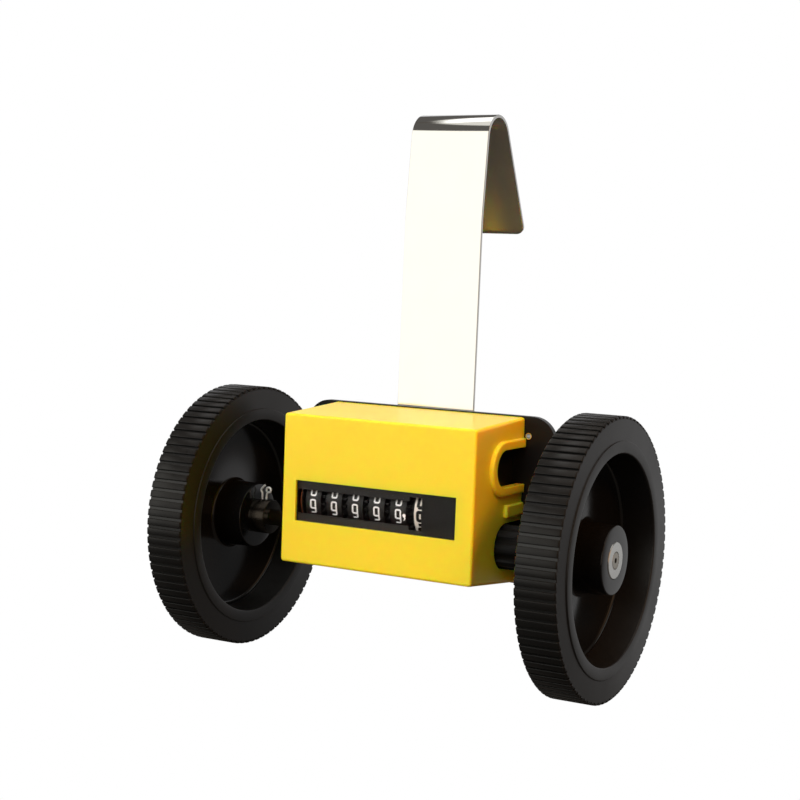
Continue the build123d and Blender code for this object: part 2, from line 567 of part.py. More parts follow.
# ---- right_wheel: the same moulding, with its dish to the right as well ----
with BuildPart() as right_wheel:
    with Locations((WHEEL_IN + AXLE_END, 0, 0)):
        add(left_wheel.part)
right_wheel.part.label = "right_wheel"
export_step(right_wheel.part, "parts/right_wheel.step")

# ---- axle_gear: 15 teeth, pressed on the axle ----
with BuildPart() as axle_gear:
    with BuildSketch(Plane.YZ.offset(AXLE_GEAR_X)):
        add(axle_gear_face, rotation=TRAIN_ANGLE)
    extrude(amount=TRAIN_W + 2 * PLAY)
axle_gear.part.label = "axle_gear"
export_step(axle_gear.part, "parts/axle_gear.step")

# ---- idler_gear: 20 and 12 teeth in one piece, on the idler pin ----
with BuildPart() as idler_gear:
    with BuildSketch(Plane.YZ.offset(IDLER_X)):
        with Locations(IDLER_YZ):
            add(idler_face, rotation=TRAIN_ANGLE + 180 + 180 / IDLER_TEETH)
    extrude(amount=TRAIN_W)
    with BuildSketch(Plane.YZ.offset(IDLER_SMALL_X)):
        with Locations(IDLER_YZ):
            add(idler_small_face, rotation=IDLER_ANGLE)
    extrude(amount=IDLER_X - IDLER_SMALL_X)
    with BuildSketch(Plane.YZ.offset(IDLER_X + TRAIN_W)):
        with Locations(IDLER_YZ):
            Circle(IDLER_PIN_R + RUN + HUB_WALL / 2)
            Circle(IDLER_PIN_R + RUN, mode=Mode.SUBTRACT)
    extrude(amount=WALL_IN - PLAY - IDLER_X - TRAIN_W)
idler_gear.part.label = "idler_gear"
export_step(idler_gear.part, "parts/idler_gear.step")

# ---- idler_pin: headed pin fixed in the inner wall ----
with BuildPart() as idler_pin:
    with BuildSketch(Plane.YZ.offset(IDLER_SMALL_X - PLAY - IDLER_PIN_HEAD_T)):
        with Locations(IDLER_YZ):
            Circle(IDLER_PIN_HEAD)
    extrude(amount=IDLER_PIN_HEAD_T)
    with BuildSketch(Plane.YZ.offset(IDLER_SMALL_X - PLAY)):
        with Locations(IDLER_YZ):
            Circle(IDLER_PIN_R)
    extrude(amount=WALL_OUT - IDLER_SMALL_X + PLAY)
idler_pin.part.label = "idler_pin"
export_step(idler_pin.part, "parts/idler_pin.step")

# ---- number_wheel_1 to 6, from the left: digit rim, driven ring, carry teeth ----
for index, centre in enumerate(DRUM_CENTRES, 1):
    left, right = centre - DRUM_W / 2, centre + DRUM_W / 2
    carry_end = left - CARRY_TOOTH_REACH
    if index == DRUM_COUNT:
        left, right = centre - LAST_DRUM_L, centre + LAST_DRUM_R
    hub_left, hub_right = centre - (DRUM_PITCH - PLAY) / 2, centre + (DRUM_PITCH - PLAY) / 2
    if index == 1:
        hub_left = -CHEEK_IN + SPACER_HUB_T + SPACER_T + SPACER_PLAY
    with BuildPart() as number_wheel:
        with BuildSketch(Plane.YZ.offset(left)):
            with Locations(DRUM_YZ):
                Circle(DRUM_R)
        extrude(amount=right - left)
        with BuildSketch(Plane.YZ.offset(left)):
            with Locations(DRUM_YZ):
                Circle(DRUM_R - DRUM_RIM_T)
                Circle(DRUM_HUB_R, mode=Mode.SUBTRACT)
        extrude(amount=right - left - DRUM_WEB, mode=Mode.SUBTRACT)
        if index < DRUM_COUNT:
            with BuildSketch(Plane.YZ.offset(right)):
                with Locations(DRUM_YZ):
                    add(ring_face, rotation=CARRY_ANGLE)
            extrude(amount=RING_W)
        else:
            hub_right = WALL_IN - PLAY
        with BuildSketch(Plane.YZ.offset(hub_left)):
            with Locations(DRUM_YZ):
                Circle(DRUM_HUB_R)
        extrude(amount=hub_right - hub_left)
        if index == DRUM_COUNT:
            with BuildSketch(Plane.YZ.offset(DRUM_GEAR_X)):
                with Locations(DRUM_YZ):
                    add(drum_gear_face, rotation=IDLER_ANGLE + 180 + 180 / DRUM_TEETH)
            extrude(amount=TRAIN_W)
        if index > 1:
            with BuildSketch(Plane.YZ.offset(left)):
                with Locations(DRUM_YZ):
                    with PolarLocations(DRUM_R - DRUM_RIM_T / 2, 2, angular_range=18):
                        Rectangle(CARRY_TOOTH, CARRY_TOOTH)
            extrude(amount=carry_end - left)
        with BuildSketch(Plane.YZ.offset(hub_left)):
            with Locations(DRUM_YZ):
                Circle(SHAFT_R + RUN)
        extrude(amount=hub_right - hub_left, mode=Mode.SUBTRACT)
    number_wheel.part.label = f"number_wheel_{index}"
    export_step(number_wheel.part, f"parts/number_wheel_{index}.step")

# ---- carry_pinion_1 to 5: one between each two number wheels ----
for index, centre in enumerate(DRUM_CENTRES[:-1], 1):
    with BuildPart() as carry_pinion:
        with BuildSketch(Plane.YZ.offset(centre + DRUM_W / 2 + RING_GAP)):
            with Locations(CARRY_YZ):
                add(carry_face, rotation=CARRY_ANGLE + 180 + 180 / CARRY_TEETH)
        extrude(amount=RING_W - RING_GAP)
    carry_pinion.part.label = f"carry_pinion_{index}"
    export_step(carry_pinion.part, f"parts/carry_pinion_{index}.step")

# ---- carry_shaft: thin rod that the carry pinions turn on ----
with BuildPart() as carry_shaft:
    with BuildSketch(Plane.YZ.offset(-CHEEK_OUT)):
        with Locations(CARRY_YZ):
            Circle(CARRY_SHAFT_R)
    extrude(amount=2 * CHEEK_OUT)
carry_shaft.part.label = "carry_shaft"
export_step(carry_shaft.part, "parts/carry_shaft.step")

# ---- reset_shaft: carries the number wheels and turns with the reset gears ----
with BuildPart() as reset_shaft:
    with BuildSketch(Plane.YZ.offset(-SHAFT_END)):
        with Locations(DRUM_YZ):
            Circle(SHAFT_R)
    extrude(amount=2 * SHAFT_END)
reset_shaft.part.label = "reset_shaft"
export_step(reset_shaft.part, "parts/reset_shaft.step")

# ---- shaft_clips: two clips that hold the reset shaft in the cheeks ----
with BuildPart() as shaft_clips:
    for start in (-CLIP_X - CLIP_T, CLIP_X):
        with BuildSketch(Plane.YZ.offset(start)):
            with Locations(DRUM_YZ):
                Circle(CLIP_R)
                Circle(SHAFT_R, mode=Mode.SUBTRACT)
        extrude(amount=CLIP_T)
shaft_clips.part.label = "shaft_clips"
export_step(shaft_clips.part, "parts/shaft_clips.step")

# ---- end_spacer: brown disc between the left cheek and the first number wheel ----
with BuildPart() as end_spacer:
    with BuildSketch(Plane.YZ.offset(-CHEEK_IN)):
        with Locations(DRUM_YZ):
            Circle(SPACER_HUB_R)
            Circle(SHAFT_R + FREE, mode=Mode.SUBTRACT)
    extrude(amount=SPACER_HUB_T)
    with BuildSketch(Plane.YZ.offset(-CHEEK_IN + SPACER_HUB_T)):
        with Locations(DRUM_YZ):
            Circle(SPACER_R)
            Circle(SHAFT_R + FREE, mode=Mode.SUBTRACT)
    extrude(amount=SPACER_T)
end_spacer.part.label = "end_spacer"
export_step(end_spacer.part, "parts/end_spacer.step")

# ---- reset_shaft_gear: 20 teeth, pressed on the reset shaft ----
with BuildPart() as reset_shaft_gear:
    with BuildSketch(Plane.YZ.offset(RESET_GEAR_X)):
        with Locations(DRUM_YZ):
            add(reset_gear_face, rotation=RESET_ANGLE + 180 + 180 / RESET_TEETH)
    extrude(amount=RESET_GEAR_W)
    with BuildSketch(Plane.YZ.offset(RESET_GEAR_X + RESET_GEAR_W)):
        with Locations(DRUM_YZ):
            Circle(SHAFT_R + HUB_WALL)
            Circle(SHAFT_R, mode=Mode.SUBTRACT)
    extrude(amount=RESET_HUB_END - RESET_GEAR_X - RESET_GEAR_W)
reset_shaft_gear.part.label = "reset_shaft_gear"
export_step(reset_shaft_gear.part, "parts/reset_shaft_gear.step")

# ---- knob_gear: 20 teeth, pressed on the sleeve of the reset knob ----
with BuildPart() as knob_gear:
    with BuildSketch(Plane.YZ.offset(RESET_GEAR_X)):
        add(knob_gear_face, rotation=RESET_ANGLE)
    extrude(amount=RESET_GEAR_W)
    with BuildSketch(Plane.YZ.offset(RESET_GEAR_X + RESET_GEAR_W)):
        Circle(SLEEVE_R + HUB_WALL)
        Circle(SLEEVE_R, mode=Mode.SUBTRACT)
    extrude(amount=RESET_HUB_END - RESET_GEAR_X - RESET_GEAR_W)
knob_gear.part.label = "knob_gear"
export_step(knob_gear.part, "parts/knob_gear.step")

# ---- reset_knob: fluted knob with a sleeve round the axle ----
with BuildPart() as reset_knob:
    with BuildSketch(Plane.YZ.offset(KNOB_X)):
        Circle(KNOB_R)
    extrude(amount=KNOB_LEN)
    chamfer(reset_knob.edges().filter_by(GeomType.CIRCLE).sort_by(Axis.X)[-1], length=KNOB_CHAMFER)
    with BuildSketch(Plane.YZ.offset(KNOB_X)):
        with PolarLocations(KNOB_R + FLUTE_OUT, KNOB_FLUTES, start_angle=180 / KNOB_FLUTES):
            Circle(FLUTE_R)
    extrude(amount=KNOB_LEN, mode=Mode.SUBTRACT)
    with BuildSketch(Plane.YZ.offset(SLEEVE_X)):
        Circle(SLEEVE_R)
    extrude(amount=KNOB_X - SLEEVE_X)
    with BuildSketch(Plane.YZ.offset(SLEEVE_X)):
        Circle(SLEEVE_BORE)
    extrude(amount=KNOB_X + KNOB_LEN - SLEEVE_X, mode=Mode.SUBTRACT)
reset_knob.part.label = "reset_knob"
export_step(reset_knob.part, "parts/reset_knob.step")
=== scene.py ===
"""Dresses the cable length counter: measuring wheels, number wheels, case and hook.

Lengths are in metres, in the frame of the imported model: X along the axle, +Y to the
back, +Z up, origin on the axle midway between the wheels.
"""

import json
import logging
import math
from dataclasses import dataclass
from enum import Enum

import bmesh
import bpy
from mathutils import Matrix, Vector

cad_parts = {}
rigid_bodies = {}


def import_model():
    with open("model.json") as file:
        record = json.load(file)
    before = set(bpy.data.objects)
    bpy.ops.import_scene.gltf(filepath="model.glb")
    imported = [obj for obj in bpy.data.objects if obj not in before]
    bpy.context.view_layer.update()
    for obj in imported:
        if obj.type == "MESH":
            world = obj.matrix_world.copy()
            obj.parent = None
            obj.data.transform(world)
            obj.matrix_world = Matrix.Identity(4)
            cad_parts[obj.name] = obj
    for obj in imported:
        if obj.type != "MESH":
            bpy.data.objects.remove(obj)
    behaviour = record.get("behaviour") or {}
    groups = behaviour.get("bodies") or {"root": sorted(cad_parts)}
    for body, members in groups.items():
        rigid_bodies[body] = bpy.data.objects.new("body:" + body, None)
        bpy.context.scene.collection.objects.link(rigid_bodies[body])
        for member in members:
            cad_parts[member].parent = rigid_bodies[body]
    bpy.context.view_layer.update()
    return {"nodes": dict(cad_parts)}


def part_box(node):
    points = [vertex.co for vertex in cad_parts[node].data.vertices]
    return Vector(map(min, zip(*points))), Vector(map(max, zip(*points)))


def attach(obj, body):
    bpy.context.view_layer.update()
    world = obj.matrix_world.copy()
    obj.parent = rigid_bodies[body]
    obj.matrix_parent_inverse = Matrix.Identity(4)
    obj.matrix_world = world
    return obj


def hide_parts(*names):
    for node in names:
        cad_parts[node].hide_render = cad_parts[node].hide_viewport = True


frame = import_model()
NODES = frame["nodes"]
MM = 0.001

log = logging.getLogger("length_counter")
Point = tuple[float, float]
Color = tuple[float, float, float]
Material = bpy.types.Material
Node = bpy.types.Node
Piece = bpy.types.Object
Shape = bmesh.types.BMesh
Socket = bpy.types.NodeSocket
Tree = bpy.types.NodeTree

GRAIN_SCALE = {"Fine": 5200.0, "Broad": 70.0}
BUMP_DISTANCE = 0.4 * MM
DUST_COLOR = (0.42, 0.40, 0.37)
DUST_ROUGHNESS = 0.6
GLOW_REACH = (1.0, 0.30, 0.04)
GLOW_SCALE = 4.0 * MM
LENS_IOR = 1.1
WELD_DISTANCE = 1e-6
FIRST_WHEEL_X, WHEEL_PITCH = -26.5 * MM, 8.5 * MM
THIN_STROKE, BOLD_STROKE = 0.30 * MM, 0.62 * MM
DIGIT_STEP = 36.0


class Surface(Enum):
    """How a finish is made, which settles the pattern of its grain."""

    MOULDED = "moulded"
    ROLLED = "rolled"
    TURNED = "turned"
    CLEAR = "clear"


# ---------------------------------------------------------------- shader groups


def new_group(name: str, inputs: dict[str, float], outputs: dict[str, str]) -> Tree:
    """Starts a shader node group with float inputs.

    Args:
        name: Name of the group.
        inputs: Input names with their default values.
        outputs: Output names with their socket types.

    Returns:
        The group, holding its input and output nodes.
    """
    tree = bpy.data.node_groups.new(name, "ShaderNodeTree")
    for label, value in inputs.items():
        socket = tree.interface.new_socket(label, in_out="INPUT", socket_type="NodeSocketFloat")
        socket.default_value = value
    for label, kind in outputs.items():
        tree.interface.new_socket(label, in_out="OUTPUT", socket_type=kind)
    tree.nodes.new("NodeGroupInput").name = "in"
    tree.nodes.new("NodeGroupOutput").name = "out"
    return tree


def math_node(tree: Tree, kind: str, a: Socket | float, b: Socket | float = 0.0) -> Socket:
    """Adds a math node fed by sockets or constants.

    Args:
        tree: The tree that gets the node.
        kind: Blender's name for the operation.
        a: First operand.
        b: Second operand.

    Returns:
        The node's result.
    """
    node = tree.nodes.new("ShaderNodeMath")
    node.operation = kind
    for slot, value in zip(node.inputs, (a, b)):
        if isinstance(value, (int, float)):
            slot.default_value = value
        else:
            tree.links.new(value, slot)
    return node.outputs[0]


def noise_node(tree: Tree, vector: Socket, scale: Socket, detail: float) -> Socket:
    """Adds a noise texture.

    Args:
        tree: The tree that gets the node.
        vector: Where the noise is read.
        scale: Its scale.
        detail: Its octaves.

    Returns:
        The noise, from 0 to 1.
    """
    noise = tree.nodes.new("ShaderNodeTexNoise")
    noise.inputs["Detail"].default_value = detail
    tree.links.new(vector, noise.inputs["Vector"])
    tree.links.new(scale, noise.inputs["Scale"])
    return noise.outputs["Fac"]


def mix_colors(tree: Tree, a: Socket | Color, b: Color, mask: Socket) -> Socket:
    """Mixes a colour towards another by a mask.

    Args:
        tree: The tree that gets the node.
        a: Colour or socket where the mask is 0.
        b: Colour where the mask is 1.
        mask: The mask.

    Returns:
        The mixed colour.
    """
    node = tree.nodes.new("ShaderNodeMix")
    node.data_type = "RGBA"
    if isinstance(a, tuple):
        node.inputs["A"].default_value = (*a, 1.0)
    else:
        tree.links.new(a, node.inputs["A"])
    node.inputs["B"].default_value = (*b, 1.0)
    tree.links.new(mask, node.inputs["Factor"])
    return node.outputs["Result"]


def grain_group() -> Tree:
    """Builds the group for the fine grain of a moulded face.

    Returns:
        The group, with a Height for bump and a Mottle for colour and gloss.
    """
    tree = new_group("moulded_grain", {"Fine": 4000.0, "Broad": 60.0},
                     {"Height": "NodeSocketFloat", "Mottle": "NodeSocketFloat"})
    inlet, outlet = tree.nodes["in"], tree.nodes["out"]
    place = tree.nodes.new("ShaderNodeTexCoord")
    for label, output, detail in (("Fine", "Height", 2.0), ("Broad", "Mottle", 5.0)):
        noise = noise_node(tree, place.outputs["Object"], inlet.outputs[label], detail)
        tree.links.new(noise, outlet.inputs[output])
    return tree


def dust_group() -> Tree:
    """Builds the group for dust that settles on faces that look up.

    Returns:
        The group, with the output Mask.
    """
    tree = new_group("dust", {"Amount": 0.1, "Scale": 500.0}, {"Mask": "NodeSocketFloat"})
    inlet, outlet = tree.nodes["in"], tree.nodes["out"]
    shape = tree.nodes.new("ShaderNodeNewGeometry")
    axes = tree.nodes.new("ShaderNodeSeparateXYZ")
    tree.links.new(shape.outputs["Normal"], axes.inputs[0])
    upward = math_node(tree, "MAXIMUM", axes.outputs["Z"], 0.0)
    place = tree.nodes.new("ShaderNodeTexCoord")
    noise = noise_node(tree, place.outputs["Object"], inlet.outputs["Scale"], 6.0)
    specks = math_node(tree, "MULTIPLY", upward, noise)
    mask = math_node(tree, "MULTIPLY", specks, inlet.outputs["Amount"])
    tree.links.new(mask, outlet.inputs["Mask"])
    return tree


def streak_group() -> Tree:
    """Builds the group for rolling or turning marks, drawn out along one axis.

    Returns:
        The group, with the output Height.
    """
    inputs = {"Along X": 1.0, "Along Y": 1.0, "Along Z": 1.0, "Scale": 3000.0}
    tree = new_group("tool_marks", inputs, {"Height": "NodeSocketFloat"})
    inlet, outlet = tree.nodes["in"], tree.nodes["out"]
    place = tree.nodes.new("ShaderNodeTexCoord")
    pull = tree.nodes.new("ShaderNodeCombineXYZ")
    for slot, label in zip(pull.inputs, ("Along X", "Along Y", "Along Z")):
        tree.links.new(inlet.outputs[label], slot)
    stretched = tree.nodes.new("ShaderNodeVectorMath")
    stretched.operation = "MULTIPLY"
    tree.links.new(place.outputs["Object"], stretched.inputs[0])
    tree.links.new(pull.outputs[0], stretched.inputs[1])
    noise = noise_node(tree, stretched.outputs[0], inlet.outputs["Scale"], 4.0)
    tree.links.new(noise, outlet.inputs["Height"])
    return tree


@dataclass(frozen=True)
class Finish:
    """One finish of the counter, from which its material is made."""

    name: str
    surface: Surface
    color: Color
    shade: Color
    roughness: float
    metallic: float = 0.0
    mottle: float = 0.06
    bump: float = 0.02
    dust: float = 0.02
    pull: tuple[float, float, float] = (1.0, 1.0, 1.0)
    specular: float = 0.5
    glow: float = 0.0
    opacity: float = 1.0

    def material(self, groups: dict[str, Tree]) -> Material:
        """Builds the material of this finish.

        Args:
            groups: The shared shader groups by name.

        Returns:
            The new material.
        """
        material = bpy.data.materials.new(self.name)
        material.use_nodes = True
        tree = material.node_tree
        shader = tree.nodes["Principled BSDF"]
        shader.inputs["Metallic"].default_value = self.metallic
        shader.inputs["Specular IOR Level"].default_value = self.specular
        if self.glow:
            shader.inputs["Subsurface Weight"].default_value = self.glow
            shader.inputs["Subsurface Radius"].default_value = GLOW_REACH
            shader.inputs["Subsurface Scale"].default_value = GLOW_SCALE
        if self.surface is Surface.CLEAR:
            shader.inputs["Transmission Weight"].default_value = 1.0
            shader.inputs["IOR"].default_value = LENS_IOR
            shader.inputs["Alpha"].default_value = self.opacity
        grain = self._place(tree, groups["moulded_grain"], GRAIN_SCALE)
        dust = self._place(tree, groups["dust"], {"Amount": self.dust})
        base = mix_colors(tree, self.color, self.shade, grain.outputs["Mottle"])
        base = mix_colors(tree, base, DUST_COLOR, dust.outputs["Mask"])
        tree.links.new(base, shader.inputs["Base Color"])
        rough = math_node(tree, "MULTIPLY", grain.outputs["Mottle"], self.mottle * 2)
        rough = math_node(tree, "ADD", rough, self.roughness - self.mottle)
        matt = math_node(tree, "MULTIPLY", dust.outputs["Mask"], DUST_ROUGHNESS)
        rough = math_node(tree, "ADD", rough, matt)
        tree.links.new(rough, shader.inputs["Roughness"])
        height = grain.outputs["Height"]
        if self.surface in (Surface.ROLLED, Surface.TURNED):
            keys = ("Along X", "Along Y", "Along Z")
            height = self._place(tree, groups["tool_marks"], dict(zip(keys, self.pull))).outputs[0]
        bump = tree.nodes.new("ShaderNodeBump")
        bump.inputs["Strength"].default_value = self.bump
        bump.inputs["Distance"].default_value = BUMP_DISTANCE
        tree.links.new(height, bump.inputs["Height"])
        tree.links.new(bump.outputs[0], shader.inputs["Normal"])
        return material

    @staticmethod
    def _place(tree: Tree, group: Tree, values: dict[str, float]) -> Node:
        """Places a group in a material and sets its inputs.

        Args:
            tree: The material's tree.
            group: The group to place.
            values: Input names with their values.

        Returns:
            The group node.
        """
        node = tree.nodes.new("ShaderNodeGroup")
        node.node_tree = group
        for label, value in values.items():
            node.inputs[label].default_value = value
        return node


FINISHES = (
    Finish("yellow_case", Surface.MOULDED, (0.95, 0.675, 0.030), (0.94, 0.64, 0.024), 0.30,
           mottle=0.04, bump=0.012, dust=0.01, glow=0.9),
    Finish("black_wheel", Surface.MOULDED, (0.0050, 0.0050, 0.0050), (0.0030, 0.0030, 0.0030), 0.34,
           mottle=0.06, bump=0.02),
    Finish("black_web", Surface.MOULDED, (0.0040, 0.0040, 0.0040), (0.0025, 0.0025, 0.0025), 0.13,
           mottle=0.03, bump=0.006, dust=0.01),
    Finish("black_tread", Surface.MOULDED, (0.0055, 0.0053, 0.0050), (0.0030, 0.0030, 0.0030), 0.36,
           mottle=0.06, bump=0.03, specular=0.25),
    Finish("black_frame", Surface.MOULDED, (0.0055, 0.0052, 0.0050), (0.0030, 0.0030, 0.0030), 0.30,
           mottle=0.06, bump=0.02, specular=0.20),
    Finish("black_knob", Surface.MOULDED, (0.0050, 0.0048, 0.0045), (0.0030, 0.0030, 0.0030), 0.34,
           mottle=0.06, bump=0.02, specular=0.12),
    Finish("black_mask", Surface.MOULDED, (0.0075, 0.0065, 0.0065), (0.0060, 0.0053, 0.0053), 0.55,
           mottle=0.04, bump=0.02, dust=0.0),
    Finish("black_digit_wheel", Surface.MOULDED, (0.0070, 0.0060, 0.0060), (0.0040, 0.0035, 0.0035),
           0.5, mottle=0.05, bump=0.03, dust=0.0),
    Finish("white_digit_wheel", Surface.MOULDED, (0.78, 0.73, 0.66), (0.60, 0.54, 0.47), 0.45,
           mottle=0.08, bump=0.02, dust=0.0),
    Finish("white_print", Surface.MOULDED, (0.86, 0.86, 0.85), (0.76, 0.76, 0.76), 0.5,
           mottle=0.04, bump=0.02, dust=0.0),
    Finish("brown_spacer", Surface.MOULDED, (0.36, 0.10, 0.03), (0.24, 0.06, 0.02), 0.5,
           mottle=0.12, bump=0.05, dust=0.0),
    Finish("acetal_gear", Surface.MOULDED, (0.70, 0.68, 0.62), (0.62, 0.60, 0.54), 0.4,
           mottle=0.06, bump=0.02, dust=0.0),
    Finish("mirror_strip", Surface.ROLLED, (0.90, 0.885, 0.85), (0.86, 0.845, 0.81), 0.07,
           metallic=1.0, mottle=0.03, bump=0.008, dust=0.0, pull=(1.0, 0.04, 0.04)),
    Finish("satin_strip", Surface.ROLLED, (0.78, 0.74, 0.68), (0.70, 0.66, 0.60), 0.34,
           metallic=1.0, mottle=0.05, bump=0.03, dust=0.0, pull=(0.05, 1.0, 1.0)),
    Finish("turned_steel", Surface.TURNED, (0.50, 0.46, 0.40), (0.40, 0.36, 0.30), 0.24,
           metallic=1.0, mottle=0.08, bump=0.05, pull=(1.0, 0.06, 0.06)),
    # turned steel darkened as painted shade: the left bush sits in shadow between the wheel and the
    # case, while the right bush keeps bright metal
    Finish("painted_shade_steel", Surface.TURNED, (0.050, 0.042, 0.034), (0.036, 0.030, 0.024), 0.26,
           metallic=1.0, mottle=0.08, bump=0.06, pull=(1.0, 0.06, 0.06)),
    Finish("plated_wire", Surface.TURNED, (0.82, 0.81, 0.78), (0.70, 0.69, 0.66), 0.28,
           metallic=0.45, mottle=0.06, bump=0.02, pull=(0.1, 1.0, 1.0)),
    Finish("bright_rivet", Surface.TURNED, (0.74, 0.73, 0.70), (0.66, 0.65, 0.62), 0.20,
           metallic=1.0, mottle=0.06, bump=0.03, pull=(1.0, 0.1, 1.0)),
    Finish("bronze_bearing", Surface.TURNED, (0.50, 0.31, 0.13), (0.42, 0.25, 0.10), 0.35,
           metallic=1.0, mottle=0.08, bump=0.04, pull=(1.0, 0.06, 0.06)),
    Finish("clear_lens", Surface.CLEAR, (1.0, 1.0, 1.0), (0.97, 0.97, 0.97), 0.03,
           mottle=0.01, bump=0.002, dust=0.0, opacity=0.2),
)

CAD_FINISH = {
    "front_cover": "yellow_case", "window_lens": "clear_lens", "window_mask": "black_mask",
    "base_frame": "black_frame", "left_bearing": "bronze_bearing",
    "inner_bearing": "bronze_bearing", "case_screws": "bright_rivet",
    "plate_eyelets": "bright_rivet", "hook_strap": "mirror_strip", "strap_rivets": "bright_rivet",
    "idler_pin": "turned_steel", "carry_shaft": "turned_steel", "end_spacer": "brown_spacer",
    # the left bush gets the darkened steel as painted shade
    "axle": "turned_steel", "left_bush": "painted_shade_steel", "right_bush": "bright_rivet",
    "left_split_pin": "turned_steel", "right_split_pin": "turned_steel",
    "reset_knob": "black_knob", "reset_shaft": "turned_steel", "shaft_clips": "turned_steel",
    "left_wheel": "black_wheel", "right_wheel": "black_wheel",
    "number_wheel_6": "white_digit_wheel",
}


class Paintshop:
    """Makes the materials once and gives them to pieces."""

    def __init__(self) -> None:
        """Builds the shader groups and every finish."""
        trees = (grain_group(), dust_group(), streak_group())
        groups = {tree.name: tree for tree in trees}
        self.materials = {finish.name: finish.material(groups) for finish in FINISHES}

    def dress(self, piece: Piece, finish: str) -> None:
        """Gives a piece one finish all over.

        Args:
            piece: The object to dress.
            finish: Name of the finish.
        """
        piece.data.materials.clear()
        piece.data.materials.append(self.materials[finish])

    def dress_frame(self) -> None:
        """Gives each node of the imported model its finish."""
        for name, node in NODES.items():
            default = "black_digit_wheel" if name.startswith("number_wheel") else "acetal_gear"
            self.dress(node, CAD_FINISH.get(name, default))


# ---------------------------------------------------------------- mesh helpers


def new_piece(name: str, shape: Shape, smooth_angle: float = 35.0) -> Piece:
    """Turns a bmesh into a linked object at the origin.

    Args:
        name: Name of the piece.
        shape: The mesh, which is freed.
        smooth_angle: Faces that meet at less than this many degrees are smoothed.

    Returns:
        The new object.
    """
    bmesh.ops.remove_doubles(shape, verts=shape.verts, dist=1e-7)
    bmesh.ops.recalc_face_normals(shape, faces=shape.faces)
    for face in shape.faces:
        face.smooth = True
    for edge in shape.edges:
        if len(edge.link_faces) == 2 and edge.calc_face_angle(0.0) > math.radians(smooth_angle):
            edge.smooth = False
    mesh = bpy.data.meshes.new(name)
    shape.to_mesh(mesh)
    shape.free()
    piece = bpy.data.objects.new(name, mesh)
    bpy.context.scene.collection.objects.link(piece)
    return piece


def rounded(points: list[Point], radii: list[float], steps: int = 5,
            closed: bool = True) -> list[Point]:
    """Rounds the corners of an outline with arcs.

    Args:
        points: Corners of the outline, in order.
        radii: Radius at each corner, 0 where it stays sharp.
        steps: Segments in each arc.
        closed: Whether the last point joins the first.

    Returns:
        The points of the rounded outline.
    """
    result: list[Point] = []
    count = len(points)
    for i, (corner, radius) in enumerate(zip(points, radii)):
        here = Vector(corner)
        if radius <= 0 or (not closed and i in (0, count - 1)):
            result.append(tuple(here))
            continue
        back = (Vector(points[i - 1]) - here).normalized()
        ahead = (Vector(points[(i + 1) % count]) - here).normalized()
        half = back.angle(ahead) / 2
        reach = radius / math.tan(half)
        centre = here + (back + ahead).normalized() * (radius / math.sin(half))
        start, end = here + back * reach - centre, here + ahead * reach - centre
        turn = start.angle_signed(end)
        for k in range(steps + 1):
            angle = -turn * k / steps
            spun = Matrix.Rotation(angle, 2) @ start
            result.append(tuple(centre + spun))
    return result


def lathe(outline: list[Point], segments: int) -> Shape:
    """Turns a closed outline round the X axis.

    Args:
        outline: Points as (x, radius).
        segments: Steps round the axis.

    Returns:
        The turned mesh.
    """
    shape = bmesh.new()
    rings = []
    for k in range(segments):
        angle = 2 * math.pi * k / segments
        c, s = math.cos(angle), math.sin(angle)
        rings.append([shape.verts.new((x, r * c, r * s)) for x, r in outline])
    for k, ring in enumerate(rings):
        following = rings[(k + 1) % segments]
        for i in range(len(outline)):
            j = (i + 1) % len(outline)
            shape.faces.new((ring[i], ring[j], following[j], following[i]))
    return shape


def loft(shape: Shape, rings: list[list[bmesh.types.BMVert]]) -> None:
    """Joins rings of vertices with faces and closes both ends.

    Args:
        shape: The mesh that holds the rings.
        rings: The rings in order, all of one length.
    """
    for a, b in zip(rings, rings[1:]):
        for k in range(len(a)):
            j = (k + 1) % len(a)
            shape.faces.new((a[k], a[j], b[j], b[k]))
    shape.faces.new(rings[0])
    shape.faces.new(rings[-1])


def flowing(points: list[Point], steps: int = 6) -> list[Point]:
    """Draws a smooth line through points.

    Args:
        points: Points to pass through.
        steps: Parts of each run between two points.

    Returns:
        The points of the smooth line.
    """
    ends = [points[0], *points, points[-1]]
    result = []
    for before, a, b, after in zip(ends, ends[1:], ends[2:], ends[3:]):
        for k in range(steps):
            t = k / steps
            weights = (-t**3 + 2 * t**2 - t, 3 * t**3 - 5 * t**2 + 2,
                       -3 * t**3 + 4 * t**2 + t, t**3 - t**2)
            near = (before, a, b, after)
            result.append(tuple(sum(w * p[i] for w, p in zip(weights, near)) / 2 for i in (0, 1)))
    return [*result, points[-1]]


def tube(paths: list[list[Vector]], radius: float, sides: int = 10) -> Shape:
    """Sweeps a round wire along open paths.

    Args:
        paths: Each a list of points.
        radius: Radius of the wire.
        sides: Sides of the wire.

    Returns:
        The wires as one mesh.
    """
    shape = bmesh.new()
    for path in paths:
        rings = []
        normal = (path[1] - path[0]).orthogonal().normalized()
        for i, point in enumerate(path):
            along = (path[min(i + 1, len(path) - 1)] - path[max(i - 1, 0)]).normalized()
            normal = (normal - along * normal.dot(along)).normalized()
            other = along.cross(normal)
            angles = [2 * math.pi * k / sides for k in range(sides)]
            ring = [shape.verts.new(point + (normal * math.cos(a) + other * math.sin(a)) * radius)
                    for a in angles]
            rings.append(ring)
        loft(shape, rings)
    return shape


